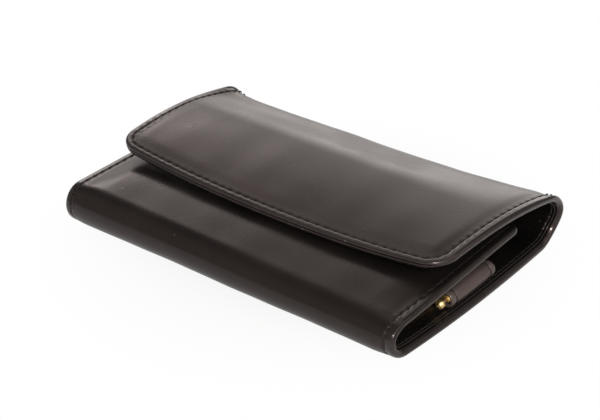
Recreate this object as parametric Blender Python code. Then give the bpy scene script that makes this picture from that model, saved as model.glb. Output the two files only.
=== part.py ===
"""Folding key case of smooth black leather, closed and lying flat, with six spring hooks inside.

The long folds run along X and the case stands on Z = 0 with its middle over the origin.
The front fold is at -Y and is low. The back fold is at +Y and is tall.
The inner flap comes from the front fold and the outer flap closes over it from the back fold.
The hooks hang inside near the +X end and point toward -X.
"""
import math

import bmesh
import bpy
from mathutils import Matrix, Vector

MM = 0.001

# Overall form
CASE_LENGTH = 103.4 * MM        # along the front fold
CASE_WIDTH = 73.0 * MM          # front fold to back fold, outside
FRONT_FOLD_RADIUS = 5.7 * MM
BACK_FOLD_RADIUS = 8.7 * MM
BASE_END_BOW = 1.6 * MM         # how far the base's ends bulge halfway between the folds
INNER_END_BOW = 0.2 * MM
OUTER_END_BOW = 0.8 * MM
BASE_FLARE = 0.6 * MM           # how far the back fold's ends spread past the front fold's, at the base
BACK_FLARE = 1.9 * MM           # and at its top
TOP_BEGINS = 1.2                # height where the ends have the flaps' shape, in fold radii
BACK_SAG = 2.5 * MM             # how far the middle of the back fold's top lies below its ends
LEFT_SAG_POWER = 12             # how sharply it sinks from the left end, and from the right
RIGHT_SAG_POWER = 2
SAG_START = 10.0 * MM           # where the sag of the outer flap begins, behind the middle of the case
RIGHT_DROP = 1.2 * MM           # how much lower the closed case is at +X than at -X
HINGE_TURN = 45.0               # degrees from the middle of a fold to each of its two bends

# Flaps
TOP_TURN = 80.0                 # degrees up the back fold where the outer flap's crown begins
OUTER_FLAP_REACH = 46.0 * MM    # from the back fold to the free edge, along the leather
OUTER_EDGE_BOW = 3.0 * MM
OUTER_SKEW = 0.6 * MM           # how far the free edge is shifted toward -X
OUTER_CORNER_RADIUS = 6.5 * MM
OUTER_CORNER_LIFT = 1.1 * MM
INNER_FLAP_SPRING = 0.6         # share of the drop that the inner flap has sprung back at its free edge
INNER_FLAP_RISE = 2.1           # degrees
INNER_FLAP_REACH = 49.0 * MM
INNER_EDGE_BOW = 0.8 * MM
INNER_CORNER_RADIUS = 3.6 * MM

# Layers of the wall, from the outside in, and the clearance between touching pieces
LEATHER = 0.9 * MM
BOARD = 0.4 * MM
LINING = 0.6 * MM
GAP = 0.3 * MM
HEM_WIDTH = 3.0 * MM            # leather turned over onto the lining side
WALL = LEATHER + GAP + BOARD + GAP + LINING
UPPER_ROLL = 0.7 * MM           # radius of the leather's rolled edge
ROLL_GROOVE = 0.25 * MM         # height of the groove between the rolled edge and the lining's edge
ROLL_STEP = 0.2 * MM            # how far the lining's edge lies inside the rolled one

# Hook plate, its rod and the leather strap that holds it
STRAP_WIDTH = 18.9 * MM
STRAP_Y = -2.7 * MM
STRAP_LEATHER = 0.8 * MM
STRAP_LEG = 11.0 * MM           # from the fold of the strap to its cut ends
STRAP_SLOPE = 3.0 * MM          # along X, where its upper leg settles onto the plate
BEAD_RADIUS = 0.95 * MM         # rolled edge of the plate inside the strap
BEAD_INSET = 0.4 * MM           # its ends inside the strap's sides
BALL_RADIUS = 1.2 * MM          # head at the rolled edge's -Y end
BALL_NECK_RADIUS = 0.5 * MM
BALL_NECK_LENGTH = 1.5 * MM
PLATE_OFFSET = 2.2 * MM         # middle of the hook row from the strap's, toward -Y
PLATE_THICKNESS = 1.0 * MM
PLATE_DEPTH = 12.0 * MM         # rolled edge to rod
NECK_DEPTH = 3.4 * MM           # straight part of the plate behind the rolled edge
COMB_DEPTH = 1.2 * MM           # full width of the plate behind its fingers
ROD_RADIUS = 0.5 * MM
ROD_HEAD_RADIUS = 0.95 * MM
ROD_HEAD_LENGTH = 0.7 * MM
ROD_END_RADIUS = 0.65 * MM      # flat end of the rod's head
KNUCKLE_WALL = 0.5 * MM
RIVET_SPACING = 11.0 * MM
RIVET_SETBACK = 6.2 * MM        # rivet axis behind the fold of the strap
RIVET_SHANK_RADIUS = 0.9 * MM
RIVET_HEAD_RADIUS = 1.9 * MM
RIVET_HEAD_HEIGHT = 0.7 * MM
RIVET_FLANGE_THICKNESS = 0.35 * MM

# Spring hooks
HOOK_COUNT = 6
HOOK_PITCH = 6.4 * MM
HOOK_LENGTH = 24.0 * MM         # rod axis to the end of the nose
HOOK_WIDTH = 5.0 * MM
HOOK_BAR = 0.85 * MM            # width of the bent bar, seen from above
HOOK_THICKNESS = 1.0 * MM
BARREL_WIDTH = 3.4 * MM
SHOULDER_DEPTH = 1.0 * MM       # where the hook widens behind its barrel
SHOULDER_STEP = 0.1 * MM        # barrel's end past the hook's narrow part
ROOT_LENGTH = 4.85 * MM         # rod axis to the inner end of the hook's root
MOUTH_LENGTH = 12.2 * MM        # opening between the root and the hook's tip
GATE_BEAD_RADIUS = 0.6 * MM
GATE_BEAD_SETBACK = 0.75 * MM   # bead's middle behind the inner end of the root
GATE_THICKNESS = 0.4 * MM
GATE_HEIGHT = 0.8 * MM
GATE_OVERLAP = 1.8 * MM         # gate tip past the hook's tip

# Hidden press fastener between the two flaps
SNAP_FROM_EDGE = 15.0 * MM      # its middle, from the inner flap's free edge
SNAP_RADIUS = 4.6 * MM
SNAP_FACE_RADIUS = 3.9 * MM     # flat face of the socket inside its rounded edge
STUD_FLANGE_RADIUS = 4.2 * MM
STUD_FLANGE_THICKNESS = 0.5 * MM
STUD_HEAD_RADIUS = 1.7 * MM
STUD_TOP_RADIUS = 1.3 * MM
STUD_NECK_RADIUS = 1.45 * MM
STUD_BORE_RADIUS = 0.9 * MM
SOCKET_THICKNESS = 1.4 * MM
SOCKET_BORE_RADIUS = 2.15 * MM
SOCKET_ROOF = 0.3 * MM
SNAP_GRIP = 0.7 * MM            # how far the stud's head reaches into the socket
SNAP_STANDOFF = 0.95 * MM       # stud's flange to the socket
POST_RADIUS = 0.6 * MM
CAP_THICKNESS = 0.3 * MM
EYELET_FLANGE_RADIUS = 3.0 * MM
EYELET_FLANGE_THICKNESS = 0.35 * MM

# Fineness of the curved surfaces
SMALLEST = 0.001 * MM           # points nearer than this are one point
SHARP_ANGLE = math.radians(35)
COLUMNS = 12
ROUND_STEPS = 20
SMALL_STEPS = 12

# Places that follow from the sizes above
FRONT_AXIS = Vector((0, -CASE_WIDTH / 2 + FRONT_FOLD_RADIUS, FRONT_FOLD_RADIUS))
BACK_AXIS = Vector((0, CASE_WIDTH / 2 - BACK_FOLD_RADIUS, BACK_FOLD_RADIUS))
STRAP_BOTTOM = WALL + GAP
BEAD_Z = STRAP_BOTTOM + STRAP_LEATHER + GAP + BEAD_RADIUS
STRAP_BEND_RADIUS = BEAD_RADIUS + GAP + STRAP_LEATHER
BEAD_X = CASE_LENGTH / 2 - STRAP_BEND_RADIUS
PLATE_BOTTOM = STRAP_BOTTOM + STRAP_LEATHER + GAP
PLATE_TOP = PLATE_BOTTOM + PLATE_THICKNESS
ROD_X = BEAD_X - PLATE_DEPTH
ROD_Z = PLATE_BOTTOM + PLATE_THICKNESS / 2
BARREL_BORE = ROD_RADIUS + GAP
BARREL_RADIUS = BARREL_BORE + KNUCKLE_WALL
HOOK_BOTTOM = -BARREL_RADIUS    # of the flat bar, from the rod's axis
RIVET_X = CASE_LENGTH / 2 - RIVET_SETBACK
HOOK_ROW = (HOOK_COUNT - 1) * HOOK_PITCH
FINGER_WIDTH = HOOK_PITCH - BARREL_WIDTH - 2 * GAP
PLATE_HALF = HOOK_ROW / 2 + HOOK_PITCH / 2 + FINGER_WIDTH / 2
PLATE_Y = STRAP_Y - PLATE_OFFSET
BEAD_LENGTH = STRAP_WIDTH - 2 * BEAD_INSET


def clear_scene():
    for thing in list(bpy.data.objects):
        bpy.data.objects.remove(thing, do_unlink=True)


def material(name, colour, roughness, metallic=0.0):
    made = bpy.data.materials.new(name)
    made.use_nodes = True
    shader = made.node_tree.nodes["Principled BSDF"]
    shader.inputs["Base Color"].default_value = (*colour, 1.0)
    shader.inputs["Roughness"].default_value = roughness
    shader.inputs["Metallic"].default_value = metallic
    return made


class Path:
    """The line that the leather's outer face follows in the YZ plane, with the way inward at each point."""

    def __init__(self):
        self.parts = []
        self.length = 0.0

    def arc(self, centre, radius, start, turn):
        """Go round a centre from an angle in degrees, by a signed turn in degrees."""
        size = abs(math.radians(turn)) * radius
        self.parts.append(("arc", centre, radius, start, turn, size))
        self.length += size
        return self

    def line(self, length):
        """Carry straight on from the end of the last part."""
        point, inward = self.at(self.length)
        ahead = self.heading
        self.parts.append(("line", point, inward, ahead, 0.0, length))
        self.length += length
        return self

    def at(self, distance):
        """The point and the way inward at a distance along the path."""
        left = distance
        for number, (kind, first, second, third, turn, size) in enumerate(self.parts):
            last = number == len(self.parts) - 1
            if left > size and not last:
                left -= size
                continue
            if kind == "line":
                self.heading = third
                return first + third * left, second
            angle = math.radians(third) + math.copysign(left / second, turn)
            out = Vector((0, math.cos(angle), math.sin(angle)))
            side = math.copysign(1.0, turn)
            self.heading = Vector((0, -out.z * side, out.y * side))
            return first + out * second, -out
        raise ValueError("the path is empty")


def seam_turn(radius):
    """Half the gap between two pieces that meet at a bend, as an angle in degrees."""
    return math.degrees(GAP / 2 / radius)


def base_path():
    back, front = seam_turn(BACK_FOLD_RADIUS), seam_turn(FRONT_FOLD_RADIUS)
    path = Path().arc(BACK_AXIS, BACK_FOLD_RADIUS, -HINGE_TURN - back, HINGE_TURN + back - 90)
    path.line(BACK_AXIS.y - FRONT_AXIS.y)
    return path.arc(FRONT_AXIS, FRONT_FOLD_RADIUS, -90, HINGE_TURN + front - 90)


def back_fold_path():
    seam = seam_turn(BACK_FOLD_RADIUS)
    return Path().arc(BACK_AXIS, BACK_FOLD_RADIUS, seam - HINGE_TURN, 2 * (HINGE_TURN - seam))


def front_fold_path():
    seam = seam_turn(FRONT_FOLD_RADIUS)
    return Path().arc(FRONT_AXIS, FRONT_FOLD_RADIUS, HINGE_TURN - 180 - seam, 2 * (seam - HINGE_TURN))


def crown():
    """Middle and radius of the outer flap's crown.

    It runs on smoothly from the back fold, and is as high over the inner flap as the closed fastener.
    """
    way = Vector((0, math.cos(math.radians(TOP_TURN)), math.sin(math.radians(TOP_TURN))))
    start = BACK_AXIS + way * BACK_FOLD_RADIUS
    foot, up = snap_axis()
    foot.z += drop(0)
    seat = foot + up * (GAP + STUD_FLANGE_THICKNESS + SNAP_STANDOFF + SOCKET_THICKNESS + GAP)
    chord = seat - start
    radius = (WALL ** 2 - chord.length_squared) / (2 * (chord.dot(way) + WALL))
    return start - way * radius, radius


def outer_flap_path():
    start = HINGE_TURN + seam_turn(BACK_FOLD_RADIUS)
    path = Path().arc(BACK_AXIS, BACK_FOLD_RADIUS, start, TOP_TURN - start)
    centre, radius = crown()
    return path.arc(centre, radius, TOP_TURN, math.degrees(OUTER_FLAP_REACH / radius))


def inner_flap_path():
    start = -180 - HINGE_TURN - seam_turn(FRONT_FOLD_RADIUS)
    path = Path().arc(FRONT_AXIS, FRONT_FOLD_RADIUS, start, INNER_FLAP_RISE - 270 - start)
    return path.line(INNER_FLAP_REACH)


def smooth(share):
    share = min(max(share, 0), 1)
    return share * share * (3 - 2 * share)


def half_length(point, at_back):
    """Half the case's length at a point of its profile: the open ends bulge, and the back is longer."""
    radius = BACK_FOLD_RADIUS if at_back else FRONT_FOLD_RADIUS
    height = smooth(point.z / (TOP_BEGINS * radius))
    from_middle = 2 * point.y / CASE_WIDTH
    if at_back:
        middle = (CASE_WIDTH / 2 - OUTER_FLAP_REACH / 2) / (CASE_WIDTH / 2)
        top_bow = OUTER_END_BOW * max(1 - ((from_middle - middle) / (1 - middle)) ** 2, 0)
    else:
        top_bow = INNER_END_BOW * (1 - from_middle ** 2)
    base_bow = BASE_END_BOW * (1 - from_middle ** 2)
    spread = BASE_FLARE + (BACK_FLARE - BASE_FLARE) * height if at_back else BASE_FLARE
    flare = spread * max(from_middle, 0) ** 2
    return CASE_LENGTH / 2 + base_bow + (top_bow - base_bow) * height + flare


def drop(across):
    """How much lower the flaps lie at a place along the case than at its high end."""
    return RIGHT_DROP * smooth((across + 1) / 2)


def sag(across, point, at_back):
    """How far a fold's top and the flap that comes from it sink."""
    if at_back:
        reach = smooth((point.y - SAG_START) / (BACK_AXIS.y - SAG_START))
        power = LEFT_SAG_POWER if across < 0 else RIGHT_SAG_POWER
        sunk = drop(across) + BACK_SAG * (1 - abs(across) ** power) * reach
        return sunk * smooth(point.z / BACK_AXIS.z - 1)
    sprung = INNER_FLAP_SPRING * smooth((point.y - FRONT_AXIS.y) / INNER_FLAP_REACH)
    return drop(across) * (1 - sprung) * smooth(point.z / FRONT_AXIS.z - 1)


class Panel:
    """One stretch of the folded wall. It turns a row, a column, an inset and a depth into a place."""

    def __init__(self, path, rows, at_back, edge_bow=0.0, corner=0.0, corner_lift=0.0, skew=0.0):
        self.path = path
        self.rows = rows            # distances along the path, without those round the free corners
        self.at_back = at_back      # True, False or None, which takes the nearer fold
        self.edge_bow = edge_bow
        self.corner = corner        # radius of the free edge's corners, or 0 with no free edge
        self.corner_lift = corner_lift
        self.skew = skew
        self.turns = [math.radians(90 * i / 5) for i in range(1, 6)] if corner else []

    def row_count(self):
        return len(self.rows) + len(self.turns)

    def place(self, row, column, inset, depth):
        across = 2 * column / COLUMNS - 1
        if row < len(self.rows):
            distance, pinch = self.rows[row], inset
        else:
            turn = self.turns[row - len(self.rows)]
            radius = max(self.corner - inset, GAP)
            edge = self.path.length - self.corner
            distance = edge + radius * math.sin(turn)
            pinch = self.corner - radius * math.cos(turn)
        flat = self.path.length if self.corner else 1.0
        share = (distance / flat) ** 2 if self.corner else 0.0
        distance += self.edge_bow * share * (1 - across ** 2)
        point, inward = self.path.at(distance)
        at_back = point.y > 0 if self.at_back is None else self.at_back
        end = half_length(point, at_back)
        x = across * (end - pinch)
        across = x / end
        lift = self.corner_lift * share * across ** 4 - sag(across, point, at_back)
        spot = point + inward * depth
        return Vector((x - self.skew * share, spot.y, spot.z + lift))


def panel_solid(name, panel, outline, look):
    """Close a wall between two faces of a panel.

    The outline lists (inset, depth) round the wall's edge, from the outer face to the inner one.
    Its first and last entries are the borders of the two faces themselves.
    """
    bm = bmesh.new()
    last_row, last_column = panel.row_count() - 1, COLUMNS

    def grid(inset, depth):
        return [
            [bm.verts.new(panel.place(r, c, inset, depth)) for c in range(COLUMNS + 1)]
            for r in range(panel.row_count())
        ]

    outer, inner = grid(*outline[0]), grid(*outline[-1])
    left = [(r, 0) for r in range(last_row + 1)]
    right = [(r, last_column) for r in range(last_row, -1, -1)]
    if panel.corner:
        front = [(last_row, c) for c in range(1, last_column)]
        borders = [left + front + right]
    else:
        borders = [left, right]
    # Every layer splits its squares the same way, so that layers stay apart where the wall twists.
    for face in (outer, inner):
        for r in range(last_row):
            for c in range(last_column):
                near, far = face[r][c], face[r + 1][c + 1]
                bm.faces.new((near, face[r][c + 1], far))
                bm.faces.new((near, far, face[r + 1][c]))
    ends = {}
    for border in borders:
        rings = [[outer[r][c] for r, c in border]]
        for inset, depth in outline[1:-1]:
            rings.append([bm.verts.new(panel.place(r, c, inset, depth)) for r, c in border])
        rings.append([inner[r][c] for r, c in border])
        for near, far in zip(rings, rings[1:]):
            for i in range(len(border) - 1):
                bm.faces.new((near[i], near[i + 1], far[i + 1], far[i]))
        ends[border[0]] = [ring[0] for ring in rings]
        ends[border[-1]] = [ring[-1] for ring in rings]
    for row in [0] if panel.corner else [0, last_row]:
        for c in range(last_column):
            bm.faces.new((outer[row][c], outer[row][c + 1], inner[row][c + 1], inner[row][c]))
        for column in (0, last_column):
            edge = ends[(row, column)]
            if len(edge) > 2:
                bm.faces.new(edge)
    return finish(name, bm, look)


def finish(name, bm, look, rounded=True):
    """Make an object of a closed mesh, with its faces pointing out."""
    bmesh.ops.remove_doubles(bm, verts=bm.verts, dist=SMALLEST)
    bmesh.ops.recalc_face_normals(bm, faces=bm.faces)
    if bm.calc_volume(signed=True) < 0:
        bmesh.ops.reverse_faces(bm, faces=bm.faces)
    mesh = bpy.data.meshes.new(name)
    bm.to_mesh(mesh)
    bm.free()
    mesh.materials.append(look)
    if rounded:
        mesh.shade_smooth()
        mesh.set_sharp_from_angle(angle=SHARP_ANGLE)
    made = bpy.data.objects.new(name, mesh)
    bpy.context.scene.collection.objects.link(made)
    return made


def leather_outline():
    """Section through a sewn edge: over the rolled edge, past the groove and round the lining's edge."""
    lower_roll = (WALL - 2 * UPPER_ROLL - ROLL_GROOVE) / 2
    rounded = []
    for turn in (0, 35, 65, 90, 115, 145):
        angle = math.radians(turn)
        rounded.append((UPPER_ROLL * (1 - math.sin(angle)), UPPER_ROLL * (1 - math.cos(angle))))
    top = 2 * UPPER_ROLL
    rounded.append((UPPER_ROLL, top + ROLL_GROOVE / 2))
    for turn in (35, 90, 145, 180):
        angle = math.radians(turn)
        depth = top + ROLL_GROOVE + lower_roll * (1 - math.cos(angle))
        rounded.append((ROLL_STEP + lower_roll * (1 - math.sin(angle)), depth))
    under_hem = WALL - LINING
    return rounded + [(HEM_WIDTH, WALL), (HEM_WIDTH, under_hem), (LEATHER, under_hem), (LEATHER, LEATHER)]


def lining_outline():
    inset = HEM_WIDTH + GAP
    return [(inset, WALL - LINING), (inset, WALL)]


def board_outline():
    inset = LEATHER + GAP
    return [(inset, LEATHER + GAP), (inset, LEATHER + GAP + BOARD)]


def even(start, end, count):
    return [start + (end - start) * i / (count - 1) for i in range(count)]


def panels():
    """The five stretches of the wall, and the three flat ones that hold a board."""
    base = base_path()
    back_bend, front_bend = base.parts[0][5], base.parts[2][5]
    flat_end = base.length - front_bend
    base_rows = even(0, back_bend, 4) + even(back_bend, flat_end, 7)[1:] + even(flat_end, base.length, 4)[1:]
    outer = outer_flap_path()
    outer_bend = outer.parts[0][5]
    outer_edge = outer.length - OUTER_CORNER_RADIUS
    outer_rows = even(0, outer_bend, 4) + even(outer_bend, outer_edge, 8)[1:]
    inner = inner_flap_path()
    inner_bend = inner.parts[0][5]
    inner_edge = inner.length - INNER_CORNER_RADIUS
    inner_rows = even(0, inner_bend, 5) + even(inner_bend, inner_edge, 6)[1:]
    back, front = back_fold_path(), front_fold_path()
    outer_shape = (OUTER_EDGE_BOW, OUTER_CORNER_RADIUS, OUTER_CORNER_LIFT, OUTER_SKEW)
    inner_shape = (INNER_EDGE_BOW, INNER_CORNER_RADIUS)
    return {
        "base": Panel(base, base_rows, None),
        "back_fold": Panel(back, even(0, back.length, 9), True),
        "outer_flap": Panel(outer, outer_rows, True, *outer_shape),
        "front_fold": Panel(front, even(0, front.length, 9), False),
        "inner_flap": Panel(inner, inner_rows, False, *inner_shape),
    }, {
        "base": Panel(base, even(back_bend, flat_end, 7), None),
        "outer_flap": Panel(outer, outer_rows[3:], True, *outer_shape),
        "inner_flap": Panel(inner, inner_rows[4:], False, *inner_shape),
    }


def hidden_cutter(name, bm):
    look = bpy.data.materials.get("guide") or material("guide", (0.5, 0.5, 0.5), 0.5)
    cutter = finish(name, bm, look, rounded=False)
    cutter.hide_render = True
    cutter.display_type = "WIRE"
    return cutter


def cut(target, cutter, operation="DIFFERENCE"):
    step = target.modifiers.new(cutter.name, "BOOLEAN")
    step.operation = operation
    step.solver = "EXACT"
    step.object = cutter


def cylinder(radius, start, end, steps=SMALL_STEPS):
    """A closed cylinder between two points."""
    bm = bmesh.new()
    axis = end - start
    turn = axis.to_track_quat("Z", "Y").to_matrix().to_4x4()
    place = Matrix.Translation((start + end) / 2) @ turn
    bmesh.ops.create_cone(bm, cap_ends=True, segments=steps, radius1=radius, radius2=radius,
                          depth=axis.length, matrix=place)
    return bm


def turned(name, profile, foot, axis, look, steps=ROUND_STEPS):
    """Spin a closed profile of (radius, height) round an axis that starts at foot."""
    bm = bmesh.new()
    rings = []
    for radius, height in profile:
        count = 1 if radius < SMALLEST else steps
        ring = []
        for i in range(count):
            turn = 2 * math.pi * i / steps
            ring.append(bm.verts.new((radius * math.cos(turn), radius * math.sin(turn), height)))
        rings.append(ring)
    pairs = list(zip(rings, rings[1:]))
    if len(rings[0]) > 1:
        pairs.append((rings[-1], rings[0]))
    for near, far in pairs:
        for i in range(steps):
            j = (i + 1) % steps
            corners = []
            for ring, index in ((near, i), (near, j), (far, j), (far, i)):
                corner = ring[index % len(ring)]
                if corner not in corners:
                    corners.append(corner)
            bm.faces.new(corners)
    turn = axis.to_track_quat("Z", "Y").to_matrix().to_4x4()
    bmesh.ops.transform(bm, matrix=Matrix.Translation(foot) @ turn, verts=bm.verts)
    return finish(name, bm, look)


def extruded(bm, outline, across, depth):
    """Add a prism: outline points are turned into places by across, then moved by depth."""
    near = [bm.verts.new(across(point)) for point in outline]
    bottom = bm.faces.new(near)
    grown = bmesh.ops.extrude_face_region(bm, geom=[bottom])
    moved = [v for v in grown["geom"] if isinstance(v, bmesh.types.BMVert)]
    bmesh.ops.translate(bm, vec=depth, verts=moved)


def arc_points(centre, radius, start, end, count):
    found = []
    for i in range(count):
        turn = math.radians(start + (end - start) * i / (count - 1))
        found.append((centre[0] + radius * math.cos(turn), centre[1] + radius * math.sin(turn)))
    return found


def baked(name, source, look):
    """The finished mesh of an object and its modifiers, as a mesh that copies can share."""
    graph = bpy.context.evaluated_depsgraph_get()
    mesh = bpy.data.meshes.new_from_object(source.evaluated_get(graph))
    mesh.name = name
    mesh.materials.clear()
    mesh.materials.append(look)
    mesh.shade_smooth()
    mesh.set_sharp_from_angle(angle=SHARP_ANGLE)
    return mesh


def strap_path():
    """Middle line of the strap seen from the side, as (x, z): under the plate, round its bead and back."""
    middle = STRAP_BEND_RADIUS - STRAP_LEATHER / 2
    tail_x = CASE_LENGTH / 2 - STRAP_LEG
    top_z = PLATE_TOP + GAP + STRAP_LEATHER / 2
    round_bead = arc_points((BEAD_X, BEAD_Z), middle, -90, 90, 11)
    settle = BEAD_X - STRAP_SLOPE
    high = round_bead[-1][1]
    slope = [
        (BEAD_X - STRAP_SLOPE * t, high + (top_z - high) * smooth(t))
        for t in (0.25, 0.5, 0.75, 1.0)
    ]
    return [(tail_x, round_bead[0][1]), (settle, round_bead[0][1])] + round_bead + slope + [(tail_x, top_z)]


def thickened(points, thickness):
    """Outline of a band of even thickness along a line of points."""
    left, right = [], []
    for i, point in enumerate(points):
        before, after = points[max(i - 1, 0)], points[min(i + 1, len(points) - 1)]
        way = Vector((after[0] - before[0], after[1] - before[1])).normalized()
        side = Vector((-way.y, way.x)) * thickness / 2
        left.append((point[0] + side.x, point[1] + side.y))
        right.append((point[0] - side.x, point[1] - side.y))
    return left + right[::-1]


def hook_strap(look):
    bm = bmesh.new()
    edge = STRAP_Y - STRAP_WIDTH / 2
    outline = thickened(strap_path(), STRAP_LEATHER)
    extruded(bm, outline, lambda p: (p[0], edge, p[1]), Vector((0, STRAP_WIDTH, 0)))
    return finish("hook_strap", bm, look)


def plate_outline():
    """The plate from above, as (x, y) about the hook row: a neck that flares to the row of fingers."""
    neck_half = BEAD_LENGTH / 2 - BEAD_RADIUS
    neck_x = BEAD_X - NECK_DEPTH
    comb_x = ROD_X + BARREL_RADIUS + GAP
    flare_x = comb_x + COMB_DEPTH
    finger_x = ROD_X + (BARREL_BORE + BARREL_RADIUS) / 2
    sides = []
    for way in (1, -1):
        side = [(BEAD_X, PLATE_OFFSET + way * neck_half), (neck_x, PLATE_OFFSET + way * neck_half)]
        for t in (0.2, 0.4, 0.6, 0.8, 1.0):
            x = neck_x + (flare_x - neck_x) * t
            half = neck_half + (PLATE_HALF - neck_half) * smooth(t)
            side.append((x, PLATE_OFFSET * (1 - smooth(t)) + way * half))
        sides.append(side)
    comb = []
    for i in range(HOOK_COUNT + 1):
        middle = PLATE_HALF - FINGER_WIDTH / 2 - i * HOOK_PITCH
        high, low = middle + FINGER_WIDTH / 2, middle - FINGER_WIDTH / 2
        comb += [(comb_x, high), (finger_x, high), (finger_x, low), (comb_x, low)]
    return sides[0] + comb + sides[1][::-1]


def bead_profile():
    """The rolled edge along its length, as (radius, height) from the middle of its ball head."""
    head = []
    for turn in (0, 40, 70, 90, 125):
        angle = math.radians(turn)
        head.append((BALL_RADIUS * math.sin(angle), -BALL_RADIUS * math.cos(angle)))
    start = math.sqrt(BALL_RADIUS ** 2 - BALL_NECK_RADIUS ** 2)
    shoulder = start + BALL_NECK_LENGTH
    end = shoulder + BEAD_LENGTH
    step = (BEAD_RADIUS - BALL_NECK_RADIUS) / 2
    return head + [
        (BALL_NECK_RADIUS, start), (BALL_NECK_RADIUS, shoulder), (BEAD_RADIUS, shoulder + step),
        (BEAD_RADIUS, end - step), (BEAD_RADIUS - step, end), (0, end),
    ]


def tube(bm, outer, inner, start, end, steps=ROUND_STEPS):
    """Add a tube along Y between two points."""
    rings = []
    for radius, place in ((outer, start), (outer, end), (inner, end), (inner, start)):
        ring = []
        for i in range(steps):
            turn = 2 * math.pi * i / steps
            ring.append(bm.verts.new(place + Vector((radius * math.cos(turn), 0, radius * math.sin(turn)))))
        rings.append(ring)
    for near, far in zip(rings, rings[1:] + rings[:1]):
        for i in range(steps):
            j = (i + 1) % steps
            bm.faces.new((near[i], near[j], far[j], far[i]))


def hook_plate(look):
    bm = bmesh.new()
    up = Vector((0, 0, PLATE_THICKNESS))
    extruded(bm, plate_outline(), lambda p: (p[0], PLATE_Y + p[1], PLATE_BOTTOM), up)
    plate = finish("hook_plate", bm, look)
    profile = bead_profile()
    start = Vector((BEAD_X, STRAP_Y + BEAD_LENGTH / 2 - profile[-1][1], BEAD_Z))
    bead = turned("plate_bead_guide", profile, start, Vector((0, 1, 0)), look, SMALL_STEPS)
    bead.hide_render = True
    bead.display_type = "WIRE"
    cut(plate, bead, "UNION")
    knuckles = bmesh.new()
    for i in range(HOOK_COUNT + 1):
        middle = PLATE_Y + PLATE_HALF - FINGER_WIDTH / 2 - i * HOOK_PITCH
        ends = [Vector((ROD_X, middle + side * FINGER_WIDTH / 2, ROD_Z)) for side in (-1, 1)]
        tube(knuckles, BARREL_RADIUS, BARREL_BORE, *ends, SMALL_STEPS + 2)
    cut(plate, hidden_cutter("plate_knuckle_guide", knuckles), "UNION")
    return plate


def rivet_places():
    return [Vector((RIVET_X, STRAP_Y + side * RIVET_SPACING / 2, 0)) for side in (-1, 1)]


def rivet_holes():
    """Clearance holes for the strap's rivets, through all that they pass."""
    bm = bmesh.new()
    for place in rivet_places():
        bottom = place + Vector((0, 0, LEATHER + GAP + BOARD))
        top = place + Vector((0, 0, PLATE_TOP + GAP + 2 * STRAP_LEATHER))
        hole = cylinder(RIVET_SHANK_RADIUS + GAP, bottom, top)
        bm.from_mesh(mesh_of(hole))
    return hidden_cutter("rivet_hole_guide", bm)


def mesh_of(bm):
    mesh = bpy.data.meshes.new("guide_part")
    bm.to_mesh(mesh)
    bm.free()
    return mesh


def strap_rivets(look):
    flange_z = WALL - LINING - GAP - RIVET_FLANGE_THICKNESS
    head_z = PLATE_TOP + GAP + STRAP_LEATHER + GAP
    found = []
    for number, place in enumerate(rivet_places(), 1):
        profile = [(0, flange_z), (RIVET_HEAD_RADIUS, flange_z)]
        profile += [(RIVET_HEAD_RADIUS, flange_z + RIVET_FLANGE_THICKNESS)]
        profile += [(RIVET_SHANK_RADIUS, flange_z + RIVET_FLANGE_THICKNESS), (RIVET_SHANK_RADIUS, head_z)]
        profile += [(RIVET_HEAD_RADIUS, head_z)]
        for turn in (35, 65):
            angle = math.radians(turn)
            height = head_z + RIVET_HEAD_HEIGHT * math.sin(angle)
            profile.append((RIVET_HEAD_RADIUS * math.cos(angle), height))
        profile.append((0, head_z + RIVET_HEAD_HEIGHT))
        up = Vector((0, 0, 1))
        found.append(turned(f"strap_rivet_{number}", profile, place, up, look, SMALL_STEPS))
    return found


def hook_rod(look):
    half = PLATE_HALF + GAP
    ends = half + ROD_HEAD_LENGTH
    profile = [(0, -ends), (ROD_END_RADIUS, -ends), (ROD_HEAD_RADIUS, -half - ROD_HEAD_LENGTH / 2)]
    profile += [(ROD_HEAD_RADIUS, -half), (ROD_RADIUS, -half)]
    profile += [(radius, -height) for radius, height in profile[::-1]]
    foot = Vector((ROD_X, PLATE_Y, ROD_Z))
    return turned("hook_rod", profile, foot, Vector((0, 1, 0)), look, SMALL_STEPS)


def gate_seat():
    """Middle of the gate's bead, as (along, across) from the hook's place on the rod."""
    return ROOT_LENGTH - GATE_BEAD_SETBACK, HOOK_WIDTH / 2 - HOOK_BAR / 2 - GATE_BEAD_RADIUS - GAP / 2


def hook_outline():
    """A hook from above, as (along, across): root, long side, nose and the short side with its tip."""
    half, bore = HOOK_WIDTH / 2, HOOK_WIDTH / 2 - HOOK_BAR
    neck_half = BARREL_WIDTH / 2 - SHOULDER_STEP
    nose = HOOK_LENGTH - half
    tip = ROOT_LENGTH + MOUTH_LENGTH
    tip_round = HOOK_BAR / 2
    start = (BARREL_BORE + BARREL_RADIUS) / 2
    shoulder = BARREL_RADIUS + GAP
    seat = gate_seat()
    seat_radius = GATE_BEAD_RADIUS + GAP
    lip = math.degrees(math.acos(GATE_BEAD_SETBACK / seat_radius))
    outline = [(start, -neck_half), (shoulder, -neck_half), (shoulder + SHOULDER_DEPTH, -half)]
    outline += arc_points((nose, 0), half, -90, 90, 11)
    outline += arc_points((tip + tip_round, half - tip_round), tip_round, 90, 270, 5)
    outline += arc_points((nose, 0), bore, 90, -90, 9)
    outline += [(ROOT_LENGTH, -bore)]
    outline += arc_points(seat, seat_radius, -lip, lip - 360, 11)
    outline += [(ROOT_LENGTH, half), (shoulder + SHOULDER_DEPTH, half)]
    outline += [(shoulder, neck_half), (start, neck_half)]
    return outline


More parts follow.
